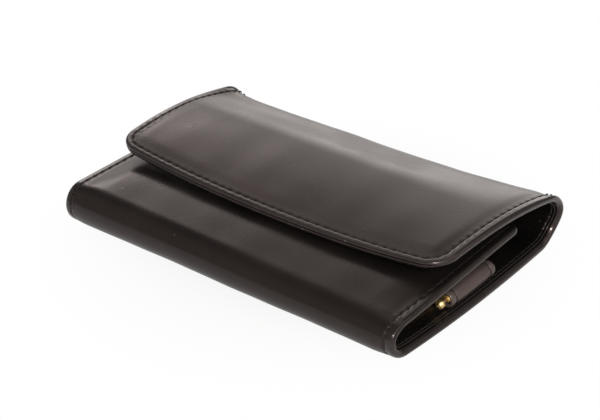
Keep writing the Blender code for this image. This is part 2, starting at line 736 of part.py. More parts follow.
def gate_outline():
    """A gate from above, as (along, across) from its bead, with its leaf's end inside the hook's tip."""
    seat = gate_seat()
    rest = HOOK_WIDTH / 2 - HOOK_BAR - GAP - GATE_THICKNESS / 2
    reach = ROOT_LENGTH + MOUTH_LENGTH + GATE_OVERLAP - seat[0]
    tilt = math.atan2(rest - seat[1], reach)
    half = GATE_THICKNESS / 2
    join = math.degrees(math.asin(half / GATE_BEAD_RADIUS))
    points = arc_points((0, 0), GATE_BEAD_RADIUS, join, 360 - join, 11)
    points += arc_points((reach - half, 0), half, -90, 90, 5)
    return [
        (u * math.cos(tilt) - v * math.sin(tilt), u * math.sin(tilt) + v * math.cos(tilt))
        for u, v in points
    ]


def hook_mesh(look):
    """One hook about its own place on the rod: the flat loop, joined to the barrel round the rod."""
    bm = bmesh.new()
    extruded(bm, hook_outline(), lambda p: (-p[0], p[1], HOOK_BOTTOM), Vector((0, 0, HOOK_THICKNESS)))
    loop = finish("hook_loop_guide", bm, look)
    barrel = bmesh.new()
    ends = [Vector((0, side * BARREL_WIDTH / 2, 0)) for side in (-1, 1)]
    tube(barrel, BARREL_RADIUS, BARREL_BORE, *ends)
    guide = hidden_cutter("hook_barrel_guide", barrel)
    cut(loop, guide, "UNION")
    mesh = baked("hook", loop, look)
    bpy.data.objects.remove(loop)
    bpy.data.objects.remove(guide)
    return mesh


def gate_mesh(look):
    bm = bmesh.new()
    low = HOOK_BOTTOM + (HOOK_THICKNESS - GATE_HEIGHT) / 2
    extruded(bm, gate_outline(), lambda p: (-p[0], p[1], low), Vector((0, 0, GATE_HEIGHT)))
    made = finish("gate", bm, look)
    mesh = made.data
    bpy.data.objects.remove(made)
    return mesh


def hooks(look, gate_look):
    """The row of hooks on the rod, each with its gate."""
    shared, shared_gate = hook_mesh(look), gate_mesh(gate_look)
    along, across = gate_seat()
    for i in range(HOOK_COUNT):
        hook = bpy.data.objects.new(f"hook_{i + 1}", shared)
        hook.location = (ROD_X, PLATE_Y - HOOK_ROW / 2 + i * HOOK_PITCH, ROD_Z)
        gate = bpy.data.objects.new(f"hook_gate_{i + 1}", shared_gate)
        gate.parent = hook
        gate.location = (-along, across, 0)
        for thing in (hook, gate):
            bpy.context.scene.collection.objects.link(thing)


def snap_axis():
    """Foot of the press fastener on the inner flap's outer face, and the way up out of it."""
    path = inner_flap_path()
    point, inward = path.at(path.length - SNAP_FROM_EDGE)
    return point - Vector((0, 0, sag(0, point, False))), -inward


def snap_seat():
    """Where the stud's axis meets the outer flap's lining, and the way out through the flap there."""
    foot, up = snap_axis()
    path = outer_flap_path()

    def lining(distance):
        point, inward = path.at(distance)
        return point + inward * WALL - Vector((0, 0, sag(0, point, True)))

    side = Vector((0, up.z, -up.y))
    near, far = path.parts[0][5], path.length
    while far - near > SMALLEST:
        middle = (near + far) / 2
        if (lining(middle) - foot).dot(side) > 0:
            near = middle
        else:
            far = middle
    along = (lining(near + MM) - lining(near - MM)).normalized()
    return lining(near), Vector((0, along.z, -along.y))


def snap_pieces(look):
    foot, up = snap_axis()
    seat, out = snap_seat()
    room = (seat - foot).dot(up)
    socket_bottom = -GAP - SOCKET_THICKNESS
    stud_top = room + socket_bottom + SNAP_GRIP
    flange_top = GAP + STUD_FLANGE_THICKNESS
    roof = -GAP - SOCKET_ROOF
    post_hole = POST_RADIUS + GAP
    stud = [(STUD_BORE_RADIUS, GAP), (STUD_FLANGE_RADIUS, GAP), (STUD_FLANGE_RADIUS, flange_top)]
    stud += [(STUD_NECK_RADIUS, flange_top), (STUD_NECK_RADIUS, stud_top - SNAP_GRIP)]
    stud += [(STUD_HEAD_RADIUS, stud_top - SNAP_GRIP / 2), (STUD_TOP_RADIUS, stud_top)]
    stud += [(STUD_BORE_RADIUS, stud_top)]
    turned("snap_stud", stud, foot, up, look)
    socket = [(post_hole, roof), (SOCKET_BORE_RADIUS, roof), (SOCKET_BORE_RADIUS, socket_bottom)]
    socket += [(SNAP_FACE_RADIUS, socket_bottom), (SNAP_RADIUS, socket_bottom + SOCKET_THICKNESS / 2)]
    socket += [(SNAP_RADIUS, -GAP), (post_hole, -GAP)]
    turned("snap_socket", socket, seat, out, look)
    cap_top = WALL - LEATHER - GAP
    cap = [(0, cap_top), (SNAP_RADIUS, cap_top), (SNAP_RADIUS, cap_top - CAP_THICKNESS)]
    cap += [(POST_RADIUS, cap_top - CAP_THICKNESS), (POST_RADIUS, roof), (0, roof)]
    turned("snap_cap", cap[::-1], seat, out, look)
    flange = -WALL - GAP
    eyelet = [(0, stud_top - 2 * GAP), (POST_RADIUS, stud_top - 2 * GAP), (POST_RADIUS, flange)]
    eyelet += [(EYELET_FLANGE_RADIUS, flange), (EYELET_FLANGE_RADIUS, flange - EYELET_FLANGE_THICKNESS)]
    eyelet += [(0, flange - EYELET_FLANGE_THICKNESS)]
    turned("snap_eyelet", eyelet[::-1], foot, up, look)


def snap_holes():
    """Clearance for the fastener: its posts through both flaps and its cap in the outer flap's board."""
    foot, up = snap_axis()
    seat, out = snap_seat()
    hole = POST_RADIUS + GAP
    inner = cylinder(hole, foot - up * (WALL + GAP), foot + up * GAP)
    above = seat + out * (WALL - LEATHER - GAP)
    outer = cylinder(hole, seat - out * GAP, above)
    cap = cylinder(SNAP_RADIUS + GAP, seat, seat + out * WALL, ROUND_STEPS)
    return (
        hidden_cutter("inner_post_guide", inner),
        hidden_cutter("outer_post_guide", outer),
        hidden_cutter("cap_room_guide", cap),
    )


def flange_rooms():
    """Room in the base board for the flanges of the strap's rivets."""
    bm = bmesh.new()
    for place in rivet_places():
        bottom = place + Vector((0, 0, LEATHER))
        top = place + Vector((0, 0, WALL - LINING))
        bm.from_mesh(mesh_of(cylinder(RIVET_HEAD_RADIUS + GAP, bottom, top)))
    return hidden_cutter("rivet_flange_guide", bm)


def hinge_points():
    """The four bends of the folds, on the leather's outer face."""
    def on(axis, radius, angle):
        turn = math.radians(angle)
        return axis + Vector((0, math.cos(turn), math.sin(turn))) * radius

    return {
        "back_lower_bend": on(BACK_AXIS, BACK_FOLD_RADIUS, -HINGE_TURN),
        "back_upper_bend": on(BACK_AXIS, BACK_FOLD_RADIUS, HINGE_TURN),
        "front_lower_bend": on(FRONT_AXIS, FRONT_FOLD_RADIUS, HINGE_TURN - 180),
        "front_upper_bend": on(FRONT_AXIS, FRONT_FOLD_RADIUS, 180 - HINGE_TURN),
    }


def hang_on_bends():
    """Put an empty on each bend and hang on it what turns there."""
    bends = {}
    for name, place in hinge_points().items():
        bend = bpy.data.objects.new(name, None)
        bend.location = place
        bend.empty_display_size = 5 * MM
        bpy.context.scene.collection.objects.link(bend)
        bends[name] = bend
    carried = {
        "back_lower_bend": ["back_fold_leather", "back_fold_lining"],
        "back_upper_bend": ["outer_flap_leather", "outer_flap_lining", "outer_flap_board", "snap_cap",
                            "snap_socket"],
        "front_lower_bend": ["front_fold_leather", "front_fold_lining"],
        "front_upper_bend": ["inner_flap_leather", "inner_flap_lining", "inner_flap_board", "snap_stud",
                             "snap_eyelet"],
    }
    for name, things in carried.items():
        for thing in things:
            piece = bpy.data.objects[thing]
            piece.parent = bends[name]
            piece.matrix_parent_inverse = Matrix.Translation(-bends[name].location)
    for upper, lower in (("back_upper_bend", "back_lower_bend"), ("front_upper_bend", "front_lower_bend")):
        bends[upper].parent = bends[lower]
        bends[upper].matrix_parent_inverse = Matrix.Translation(-bends[lower].location)


def build():
    clear_scene()
    leather = material("smooth_black_leather", (0.030, 0.026, 0.024), 0.42)
    lining = material("brown_black_lining", (0.024, 0.019, 0.018), 0.55)
    board = material("grey_board", (0.33, 0.31, 0.28), 0.9)
    gilt = material("gilt_metal", (0.83, 0.58, 0.22), 0.25, 1.0)
    gate_metal = material("gilt_spring", (0.86, 0.64, 0.30), 0.3, 1.0)
    walls, boards = panels()
    for name, panel in walls.items():
        panel_solid(f"{name}_leather", panel, leather_outline(), leather)
        panel_solid(f"{name}_lining", panel, lining_outline(), lining)
    for name, panel in boards.items():
        panel_solid(f"{name}_board", panel, board_outline(), board)
    strap = hook_strap(leather)
    plate = hook_plate(gilt)
    hook_rod(gilt)
    strap_rivets(gilt)
    hooks(gilt, gate_metal)
    snap_pieces(gilt)
    find = bpy.data.objects
    holes, rooms = rivet_holes(), flange_rooms()
    for piece in (strap, plate, find["base_lining"]):
        cut(piece, holes)
    cut(find["base_board"], rooms)
    inner_post, outer_post, cap_room = snap_holes()
    for name in ("inner_flap_leather", "inner_flap_board", "inner_flap_lining"):
        cut(find[name], inner_post)
    cut(find["outer_flap_lining"], outer_post)
    cut(find["outer_flap_board"], cap_room)
    hang_on_bends()


build()
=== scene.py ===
"""The looks of the folding key case: its sewn leather, lining and gilt metal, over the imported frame."""
import math

import bpy
import numpy as np
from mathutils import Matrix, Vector


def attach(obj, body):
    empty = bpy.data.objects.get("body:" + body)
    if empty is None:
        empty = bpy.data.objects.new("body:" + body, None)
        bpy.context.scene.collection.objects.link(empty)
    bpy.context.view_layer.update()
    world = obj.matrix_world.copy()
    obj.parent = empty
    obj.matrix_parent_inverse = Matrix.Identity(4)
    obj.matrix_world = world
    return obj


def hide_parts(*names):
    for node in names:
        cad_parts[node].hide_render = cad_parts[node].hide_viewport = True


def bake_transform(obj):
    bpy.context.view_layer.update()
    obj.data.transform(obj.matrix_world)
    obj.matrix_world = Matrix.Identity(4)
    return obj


MM = 0.001

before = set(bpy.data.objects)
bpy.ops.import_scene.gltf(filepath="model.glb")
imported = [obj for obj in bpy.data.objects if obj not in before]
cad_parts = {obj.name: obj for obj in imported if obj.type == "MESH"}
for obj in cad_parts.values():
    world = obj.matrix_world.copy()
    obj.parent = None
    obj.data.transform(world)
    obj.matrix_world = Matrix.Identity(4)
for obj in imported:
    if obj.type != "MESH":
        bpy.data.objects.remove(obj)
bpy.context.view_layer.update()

# The case's own sizes, as in the part
CASE_LENGTH = 103.4 * MM
CASE_WIDTH = 73.0 * MM
FRONT_FOLD_RADIUS = 5.7 * MM
BACK_FOLD_RADIUS = 8.7 * MM
BASE_END_BOW = 1.6 * MM
INNER_END_BOW = 0.2 * MM
OUTER_END_BOW = 0.8 * MM
BASE_FLARE = 0.6 * MM
BACK_FLARE = 1.9 * MM
TOP_BEGINS = 1.2
BACK_SAG = 2.5 * MM
LEFT_SAG_POWER = 12
RIGHT_SAG_POWER = 2
SAG_START = 10.0 * MM
RIGHT_DROP = 1.2 * MM
HINGE_TURN = 45.0
TOP_TURN = 80.0
CROWN_RADIUS = 116.505 * MM
OUTER_FLAP_REACH = 46.0 * MM
OUTER_EDGE_BOW = 3.0 * MM
OUTER_SKEW = 0.6 * MM
OUTER_CORNER_RADIUS = 6.5 * MM
OUTER_CORNER_LIFT = 1.1 * MM
INNER_FLAP_SPRING = 0.6
INNER_FLAP_RISE = 2.1
INNER_FLAP_REACH = 49.0 * MM
INNER_EDGE_BOW = 0.8 * MM
INNER_CORNER_RADIUS = 3.6 * MM

# The sewn edge
FIELD_INSET = 2.8 * MM  # where the flat field of a panel ends and its sewn edge begins
SEAM_INSET = 1.9 * MM
SIDE_BAND = 0.5 * MM  # how much wider the band is along the case's two ends
STITCH_PITCH = 2.7 * MM
STITCH_LENGTH = 1.8 * MM
THREAD_RADIUS = 0.18 * MM
PILLOW = 0.22 * MM  # how far the padded field comes down to its stitch line
PILLOW_REACH = 4.8 * MM
FLAP_PADDING = 1.0 * MM  # how far the inner flap's field stands up in its middle
STUD_INSET = 15.0 * MM  # the fastener's middle, from the inner flap's free edge
PINCH = 0.14 * MM  # how far a needle hole is drawn in below the stitch line
FACE_LEVELS = 12  # steps of the edge's section that lie on the outer face
HIDDEN_LEVELS = 8  # steps of the lining's section that are hidden under the leather
BAND_FADE = 3.0 * MM  # where the band's widening has gone, from the field's border
RUBBED_WIDTH = 1.1 * MM
BAND_SWELL = 0.05 * MM  # how far the band stands up between two needle holes
LINING_PINCH = 0.12 * MM  # how far the lining and the strap are drawn in at a needle hole
STITCH_DIP = 0.26 * MM  # how far a stitch's ends go down
OUTSIDE_THREAD = 0.33 * MM  # depths of the stitches' middles under the outer face
INSIDE_THREAD = 2.46 * MM

# The face's shapes
PADDING_SLOPE = 8.0 * MM  # the padded field's rise from its border
STUD_HOLLOW = 7.0 * MM  # how wide the field is pressed flat round the fastener
EASING = 3.0 * MM  # either side of the crown's end, where the bend begins
WAVES = 14
WAVE_TURN = 2.39996  # from one wave's direction to the next, in radians
WAVE_ASPECT = 0.7
FIRST_WAVE = 14  # the waves' lengths, in mm
WAVE_STEP = 2.9
WAVE_HEIGHT = 0.019 * MM
CREASE_HEIGHT = 0.035 * MM

# The mesh's squares
SQUARE = 0.5 * MM
LONG_SQUARE = 1.5 * MM  # along the case, in the panels that have no free edge
JOINT_ROW = 0.03 * MM  # the last row of a panel, where it meets the next
CORNER_LINES = 7
SIDE_LINES = 16

# The strap that holds the hook plate
STRAP_Y = -2.7 * MM
STRAP_LEATHER = 0.8 * MM
STRAP_SEAM = 7.45 * MM  # its stitch lines, either side of its middle
BEAD_X = 49.65 * MM
BEAD_Z = 4.85 * MM
STRAP_BEND_RADIUS = 1.65 * MM  # of its middle line round the plate's bead
STRAP_TAIL_X = 40.7 * MM
STRAP_TOP_Z = 5.6 * MM
STRAP_SLOPE = 3.0 * MM
STRAP_PITCH = 2.1 * MM
STRAP_STITCH = 1.5 * MM
STRAP_THREAD = 0.14 * MM  # depth of its stitches' middles
STRAP_FACE = 0.3 * MM  # what lies deeper is no longer its outer face
STRAP_SQUARE = 0.35 * MM

HALF = CASE_LENGTH / 2
BACK_AXIS = (CASE_WIDTH / 2 - BACK_FOLD_RADIUS, BACK_FOLD_RADIUS)
FRONT_AXIS = (-CASE_WIDTH / 2 + FRONT_FOLD_RADIUS, FRONT_FOLD_RADIUS)

# Stations along the leather, from the outer flap's free edge round to the inner flap's
CROWN_END = OUTER_FLAP_REACH
BACK_UPPER = CROWN_END + math.radians(TOP_TURN - HINGE_TURN) * BACK_FOLD_RADIUS
BACK_MIDDLE = BACK_UPPER + math.radians(HINGE_TURN) * BACK_FOLD_RADIUS
BACK_FOOT = BACK_MIDDLE + math.radians(90) * BACK_FOLD_RADIUS
BASE_MIDDLE = BACK_FOOT + BACK_AXIS[0]
FRONT_FOOT = BACK_FOOT + BACK_AXIS[0] - FRONT_AXIS[0]
FRONT_MIDDLE = FRONT_FOOT + math.radians(90) * FRONT_FOLD_RADIUS
FRONT_UPPER = FRONT_MIDDLE + math.radians(HINGE_TURN) * FRONT_FOLD_RADIUS
FRONT_TOP = FRONT_MIDDLE + math.radians(90 - INNER_FLAP_RISE) * FRONT_FOLD_RADIUS
STRIP_END = FRONT_TOP + INNER_FLAP_REACH


def smooth(share):
    """A soft step from nothing at 0 to one at 1."""
    share = np.clip(share, 0, 1)
    return share * share * (3 - 2 * share)


def bell(away, width):
    """A soft hump, one where away is nothing."""
    return np.exp(-(away / width) ** 2)


def on_arc(axis, radius, turn):
    """A point of an arc in the YZ plane: its y and z."""
    return axis[0] + radius * np.cos(turn), axis[1] + radius * np.sin(turn)


def profile(u):
    """Where the leather's outer face runs in the YZ plane at a station: y, z and the way inward."""
    u = np.asarray(u, float)
    back = math.radians(TOP_TURN) - (u - CROWN_END) / BACK_FOLD_RADIUS
    crown = math.radians(TOP_TURN) + (CROWN_END - u) / CROWN_RADIUS
    front = math.radians(-90) - (u - FRONT_FOOT) / FRONT_FOLD_RADIUS
    last = math.radians(INNER_FLAP_RISE - 270)
    crown_axis = on_arc(BACK_AXIS, BACK_FOLD_RADIUS - CROWN_RADIUS, math.radians(TOP_TURN))
    last_y, last_z = on_arc(FRONT_AXIS, FRONT_FOLD_RADIUS, last)
    beyond = u - FRONT_TOP
    cases = [u < CROWN_END, u < BACK_FOOT, u < FRONT_FOOT, u < FRONT_TOP]
    parts = [on_arc(crown_axis, CROWN_RADIUS, crown), on_arc(BACK_AXIS, BACK_FOLD_RADIUS, back),
             (BACK_AXIS[0] - (u - BACK_FOOT), 0 * u), on_arc(FRONT_AXIS, FRONT_FOLD_RADIUS, front)]
    y = np.select(cases, [part[0] for part in parts], last_y + beyond * math.sin(last))
    z = np.select(cases, [part[1] for part in parts], last_z - beyond * math.cos(last))
    turn = np.select(cases, [crown, back, 0 * u - math.pi / 2, front], last)
    return y, z, -np.cos(turn), -np.sin(turn)


def half_length(y, z, at_back):
    """Half the case's length at a place: its ends bow between the folds and flare toward the back."""
    radius = np.where(at_back, BACK_FOLD_RADIUS, FRONT_FOLD_RADIUS)
    height = smooth(z / (TOP_BEGINS * radius))
    from_middle = 2 * y / CASE_WIDTH
    middle = 1 - OUTER_FLAP_REACH / CASE_WIDTH
    outer_bow = OUTER_END_BOW * np.maximum(1 - ((from_middle - middle) / (1 - middle)) ** 2, 0)
    top_bow = np.where(at_back, outer_bow, INNER_END_BOW * (1 - from_middle ** 2))
    base_bow = BASE_END_BOW * (1 - from_middle ** 2)
    flare = BASE_FLARE + np.where(at_back, (BACK_FLARE - BASE_FLARE) * height, 0)
    return HALF + base_bow + (top_bow - base_bow) * height + flare * np.maximum(from_middle, 0) ** 2


def sag(across, y, z, at_back):
    """How far a place of the upper side has sunk, by its share of the way from the middle to an end."""
    drop = RIGHT_DROP * smooth((across + 1) / 2)
    reach = smooth((y - SAG_START) / (BACK_AXIS[0] - SAG_START))
    power = np.where(across < 0, LEFT_SAG_POWER, RIGHT_SAG_POWER)
    hollow = BACK_SAG * (1 - np.abs(across) ** power) * reach
    sprung = INNER_FLAP_SPRING * smooth((y - FRONT_AXIS[0]) / INNER_FLAP_REACH)
    back = (drop + hollow) * smooth(z / BACK_AXIS[1] - 1)
    front = drop * (1 - sprung) * smooth(z / FRONT_AXIS[1] - 1)
    return np.where(at_back, back, front)


def fold(x, u, depth):
    """Take points of the flat leather, at x and station u and a depth under its face, to the folded case."""
    x, u, depth = np.broadcast_arrays(np.asarray(x, float), u, depth)
    across = x / HALF
    outer = np.clip(1 - u / BACK_UPPER, 0, 2) ** 2
    inner = np.clip((u - FRONT_UPPER) / (STRIP_END - FRONT_UPPER), 0, 2) ** 2
    bowed = u - OUTER_EDGE_BOW * outer * (1 - across ** 2) + INNER_EDGE_BOW * inner * (1 - across ** 2)
    y, z, in_y, in_z = profile(bowed)
    at_back = u < BASE_MIDDLE
    end = half_length(y, z, at_back)
    lift = OUTER_CORNER_LIFT * outer * across ** 4 - sag(across, y, z, at_back)
    return np.stack([across * end - OUTER_SKEW * outer, y + in_y * depth, z + in_z * depth + lift], -1)


def undulation(x, u):
    """The gentle waves of leather that has been carried and folded, none of them where it rests."""
    rise = np.zeros(np.broadcast(x, u).shape)
    for number in range(WAVES):
        turn = number * WAVE_TURN
        wide = (FIRST_WAVE + WAVE_STEP * number) * MM
        along, across = math.cos(turn), math.sin(turn) * WAVE_ASPECT
        rise = rise + WAVE_HEIGHT * np.sin((along * x + across * u) * 2 * math.pi / wide + 1.7 * number)
    from_edge = np.minimum(HALF - np.abs(x), np.minimum(u, STRIP_END - u))
    return rise * smooth((from_edge - SEAM_INSET) / (5 * MM)) * off_floor(u)


def eased(u):
    """How far the leather lies inside its two arcs where the crown runs into the back fold."""
    away = (u - CROWN_END) / EASING
    rise = 0.5 * (1 / BACK_FOLD_RADIUS - 1 / CROWN_RADIUS) * EASING ** 2
    hump = np.exp(-np.clip(away, -8, 8) ** 2 / 2) / math.sqrt(2 * math.pi)
    # The hump's running sum, closely enough
    below = 0.5 * (1 + np.tanh(math.sqrt(2 / math.pi) * (away + 0.044715 * away ** 3)))
    soft = (away ** 2 + 1) * below + away * hump
    hard = np.maximum(away, 0) ** 2
    return rise * (soft - hard) * (1 - smooth((u - BACK_UPPER) / (3 * EASING)))


def off_floor(u):
    """Nothing where the base lies on the floor, rising to one a little above it."""
    return smooth(profile(u)[1] / (1.5 * MM))


class Panel:
    """A stretch of the strip between two stations, with or without a free edge and its rounded corners."""

    def __init__(self, start, end, corner=OUTER_CORNER_RADIUS, free=None):
        self.start, self.end, self.corner, self.free = start, end, corner, free

    def nearest(self, x, u):
        """The nearest point of the core, inside the corners' centres, and the way out from it."""
        core_x = np.clip(x, self.corner - HALF, HALF - self.corner)
        core_u = u
        if self.free == "start":
            core_u = np.maximum(u, self.corner)
        if self.free == "end":
            core_u = np.minimum(u, STRIP_END - self.corner)
        out_x, out_u = x - core_x, u - core_u
        size = np.maximum(np.hypot(out_x, out_u), 1e-9)
        return core_x, core_u, out_x / size, out_u / size, size

    def inset(self, x, u):
        """How far a point lies inside the cut edge."""
        *_, size = self.nearest(x, u)
        return self.corner - size


OUTER_PANEL = Panel(0, BACK_MIDDLE, OUTER_CORNER_RADIUS, "start")
BACK_PANEL = Panel(BACK_MIDDLE, BASE_MIDDLE)
FRONT_PANEL = Panel(BASE_MIDDLE, FRONT_MIDDLE)
INNER_PANEL = Panel(FRONT_MIDDLE, STRIP_END, INNER_CORNER_RADIUS, "end")


# The stitch line's right half: part of the outer edge, a corner, a side, a corner and part of the inner edge
QUARTER = math.pi / 2
OUTER_RUN = HALF - OUTER_CORNER_RADIUS
INNER_RUN = HALF - INNER_CORNER_RADIUS
SIDE_RUN = STRIP_END - OUTER_CORNER_RADIUS - INNER_CORNER_RADIUS
OUTER_BEND = OUTER_CORNER_RADIUS - SEAM_INSET
INNER_BEND = INNER_CORNER_RADIUS - SEAM_INSET
SIDE_START = OUTER_RUN + QUARTER * OUTER_BEND
SIDE_END = SIDE_START + SIDE_RUN
SEAM_LENGTH = SIDE_END + QUARTER * INNER_BEND + INNER_RUN
PITCH = SEAM_LENGTH / round(SEAM_LENGTH / STITCH_PITCH)


def seam_at(station):
    """Distance along the stitch line where it passes a station."""
    return SIDE_START + station - OUTER_CORNER_RADIUS


def along_seam(x, u):
    """Distance along the stitch line of its point nearest to a point of the strip."""
    x = np.abs(x)
    outer_turn = np.arctan2(x - OUTER_RUN, np.maximum(OUTER_CORNER_RADIUS - u, 0))
    inner_turn = np.arctan2(u - (STRIP_END - INNER_CORNER_RADIUS), np.maximum(x - INNER_RUN, 0))
    before = u < OUTER_CORNER_RADIUS
    return np.select(
        [before & (x < OUTER_RUN), before, u < STRIP_END - INNER_CORNER_RADIUS, x > INNER_RUN],
        [x, OUTER_RUN + outer_turn * OUTER_BEND, seam_at(u), SIDE_END + inner_turn * INNER_BEND],
        SEAM_LENGTH - x)


def seam_spot(t):
    """Points of the strip's right half at distances along the stitch line, and the way outward there."""
    t = np.asarray(t, float)
    a = np.clip((t - OUTER_RUN) / OUTER_BEND, 0, QUARTER)
    b = np.clip((t - SIDE_END) / INNER_BEND, 0, QUARTER)
    x = np.minimum(t, OUTER_RUN) + OUTER_BEND * np.sin(a) - INNER_BEND * (1 - np.cos(b))
    x = x - np.maximum(t - SIDE_END - QUARTER * INNER_BEND, 0)
    u = SEAM_INSET + OUTER_BEND * (1 - np.cos(a)) + INNER_BEND * np.sin(b)
    u = u + np.clip(t - SIDE_START, 0, SIDE_RUN)
    return x, u, np.sin(a + b), -np.cos(a + b)


def side_share(x, u):
    """How much of a point's nearest edge is an end of the case: one there, nothing at the free edges."""
    beside = np.maximum(np.abs(x) - HALF + OUTER_CORNER_RADIUS, 0)
    before = np.maximum(OUTER_CORNER_RADIUS - np.minimum(u, STRIP_END - u), 0)
    return smooth(beside / np.maximum(np.hypot(beside, before), 1e-9))


def leather_rim():
    """The sewn edge's insets and depths in mm: stitch line, padded band, rolled edge, groove, under rim."""
    section = [(2.8, 0), (2.5, 0.215), (2.25, 0.235), (2.06, 0.26), (1.9, 0.31), (1.77, 0.24)]
    section += [(1.62, 0.145), (1.46, 0.08), (1.30, 0.045), (1.12, 0.035), (0.93, 0.045), (0.76, 0.07)]
    for turn in (20, 38, 56, 74, 92, 108):
        angle = math.radians(turn)
        section.append((0.74 - 0.62 * math.sin(angle), 0.66 - 0.60 * math.cos(angle)))
    section += [(0.23, 0.90), (0.31, 0.93), (0.33, 0.96), (0.29, 0.99), (0.18, 1.03)]
    section += [(0.08, 1.12), (0.02, 1.26), (0.0, 1.46), (0.02, 1.72), (0.10, 1.95), (0.25, 2.14)]
    return section + [(0.48, 2.23), (0.9, 2.24), (1.3, 2.24), (1.65, 2.2), (1.65, 1.9), (2.8, 0.9)]


def side_rim():
    """The same edge at the case's two ends, where its layers are pressed together into one round."""
    band_start, band_depth, band_level = 1.28, 0.21, 6
    section = drawn_in(leather_rim(), band_start)
    first, last = FACE_LEVELS - 1, len(section) - 6
    for level in range(band_level, first):
        section[level] = (section[level][0], max(section[level][1], band_depth))
    for level in range(first, last + 1):
        turn = math.radians(14 + 152 * (level - first) / (last - first))
        section[level] = (1.10 - 1.05 * math.sin(turn), 1.21 - 1.0 * math.cos(turn))
    return section


def drawn_in(section, start):
    """Move what lies further in than a place inward with the wider band, but for the field's own border."""
    shift, border = SIDE_BAND / MM, FIELD_INSET / MM
    seam = SEAM_INSET / MM
    moved = []
    for inset, depth in section:
        if inset > seam:
            inset = seam + shift + (inset - seam) * (border - seam - shift) / (border - seam)
        elif inset > start:
            inset += shift * (inset - start) / (seam - start)
        moved.append((inset, depth))
    return moved


def lining_rim():
    """The insets and depths in mm of the lining's folded edge, which the stitch line passes through."""
    section = [(2.8, 1.85), (1.75, 1.95), (1.72, 2.22), (1.5, 2.25)]
    for turn in (120, 150, 180, 210, 240):
        angle = math.radians(turn)
        section.append((1.5 + 0.17 * math.cos(angle), 2.42 - 0.17 * math.sin(angle)))
    return section + [(1.52, 2.58), (1.7, 2.55), (1.9, 2.44), (2.1, 2.52), (2.8, 2.56)]


def spread(start, end, step):
    """Even places from start to end, about a step apart."""
    return np.linspace(start, end, max(2, round(abs(end - start) / step) + 1))


def lines(panel):
    """The stations of the rows and the places of the columns, the same near the sides of every panel."""
    low, high = panel.start, panel.end
    rounded = (panel.corner - FIELD_INSET) * np.linspace(0, 1, CORNER_LINES + 1)[1:]
    edge = HALF - panel.corner
    if panel.free == "start":
        stations = [*(panel.corner - rounded[::-1]), *spread(panel.corner, high - JOINT_ROW, SQUARE), high]
    elif panel.free == "end":
        core = STRIP_END - panel.corner
        stations = [low, *spread(low + JOINT_ROW, core, SQUARE), *(core + rounded)]
    else:
        stations = [low, *spread(low + JOINT_ROW, high - JOINT_ROW, SQUARE), high]
    step = (OUTER_CORNER_RADIUS - FIELD_INSET) / CORNER_LINES
    side = HALF - FIELD_INSET
    places = [*spread(0, side - SIDE_LINES * step, SQUARE if panel.free else LONG_SQUARE)]
    places += [side - number * step for number in range(SIDE_LINES)]
    if panel is INNER_PANEL:
        places += [edge, *(edge + rounded[:-1])]
    places = np.array(sorted(places))
    return np.array(stations), np.concatenate([-places[:0:-1], places])


def only(*things):
    """Select these things alone."""
    bpy.ops.object.select_all(action="DESELECT")
    for thing in things:
        thing.select_set(True)
    bpy.context.view_layer.objects.active = things[0]


def spots_of(thing):
    """The places of a thing's vertices, a row each."""
    spots = np.empty(len(thing.data.vertices) * 3)
    thing.data.vertices.foreach_get("co", spots)
    return spots.reshape(-1, 3)


def cut_across(thing, axis, length, cuts):
    """Cut those edges of the active thing that run further than a length along an axis."""
    bpy.ops.object.mode_set(mode="EDIT")
    bpy.ops.mesh.select_all(action="DESELECT")
    bpy.ops.object.mode_set(mode="OBJECT")
    edges = thing.data.edges
    ends = np.empty(len(edges) * 2, int)
    edges.foreach_get("vertices", ends)
    along = spots_of(thing)[ends.reshape(-1, 2), axis]
    edges.foreach_set("select", np.abs(along[:, 0] - along[:, 1]) > length)
    bpy.context.tool_settings.mesh_select_mode = (False, True, False)
    bpy.ops.object.mode_set(mode="EDIT")
    bpy.ops.mesh.subdivide(number_cuts=cuts)
    bpy.ops.object.mode_set(mode="OBJECT")


def blank(name, columns, rows, levels):
    """A flat block of squares, cut in levels round its sides, from which a panel is shaped."""
    bpy.ops.mesh.primitive_grid_add(x_subdivisions=columns, y_subdivisions=rows, size=2)
    block = bpy.context.object
    block.name = block.data.name = name
    bpy.ops.object.mode_set(mode="EDIT")
    bpy.ops.mesh.select_all(action="SELECT")
    bpy.ops.mesh.extrude_region_move(TRANSFORM_OT_translate={"value": (0, 0, 1)})
    bpy.ops.object.mode_set(mode="OBJECT")
    cut_across(block, 2, 0.5, levels)
    return block


def corner_turned(side, station, panel):
    """Bend the square corner of a field round, where the panel has a rounded corner."""
    if not panel.free:
        return side, station
    edge = HALF - panel.corner
    core, way = (panel.corner, -1) if panel.free == "start" else (STRIP_END - panel.corner, 1)
    a = np.maximum(np.abs(side) - edge, 0)
    b = np.maximum(way * (station - core), 0)
    m = np.maximum(a, b)
    least = np.maximum(m, 1e-9)
    turn = np.where(a >= b, math.pi / 4 * b / least, math.pi / 2 - math.pi / 4 * a / least)
    corner = (a > 0) & (b > 0)
    new_side = np.where(corner, np.sign(side) * (edge + m * np.cos(turn)), side)
    return new_side, np.where(corner, core + way * m * np.sin(turn), station)


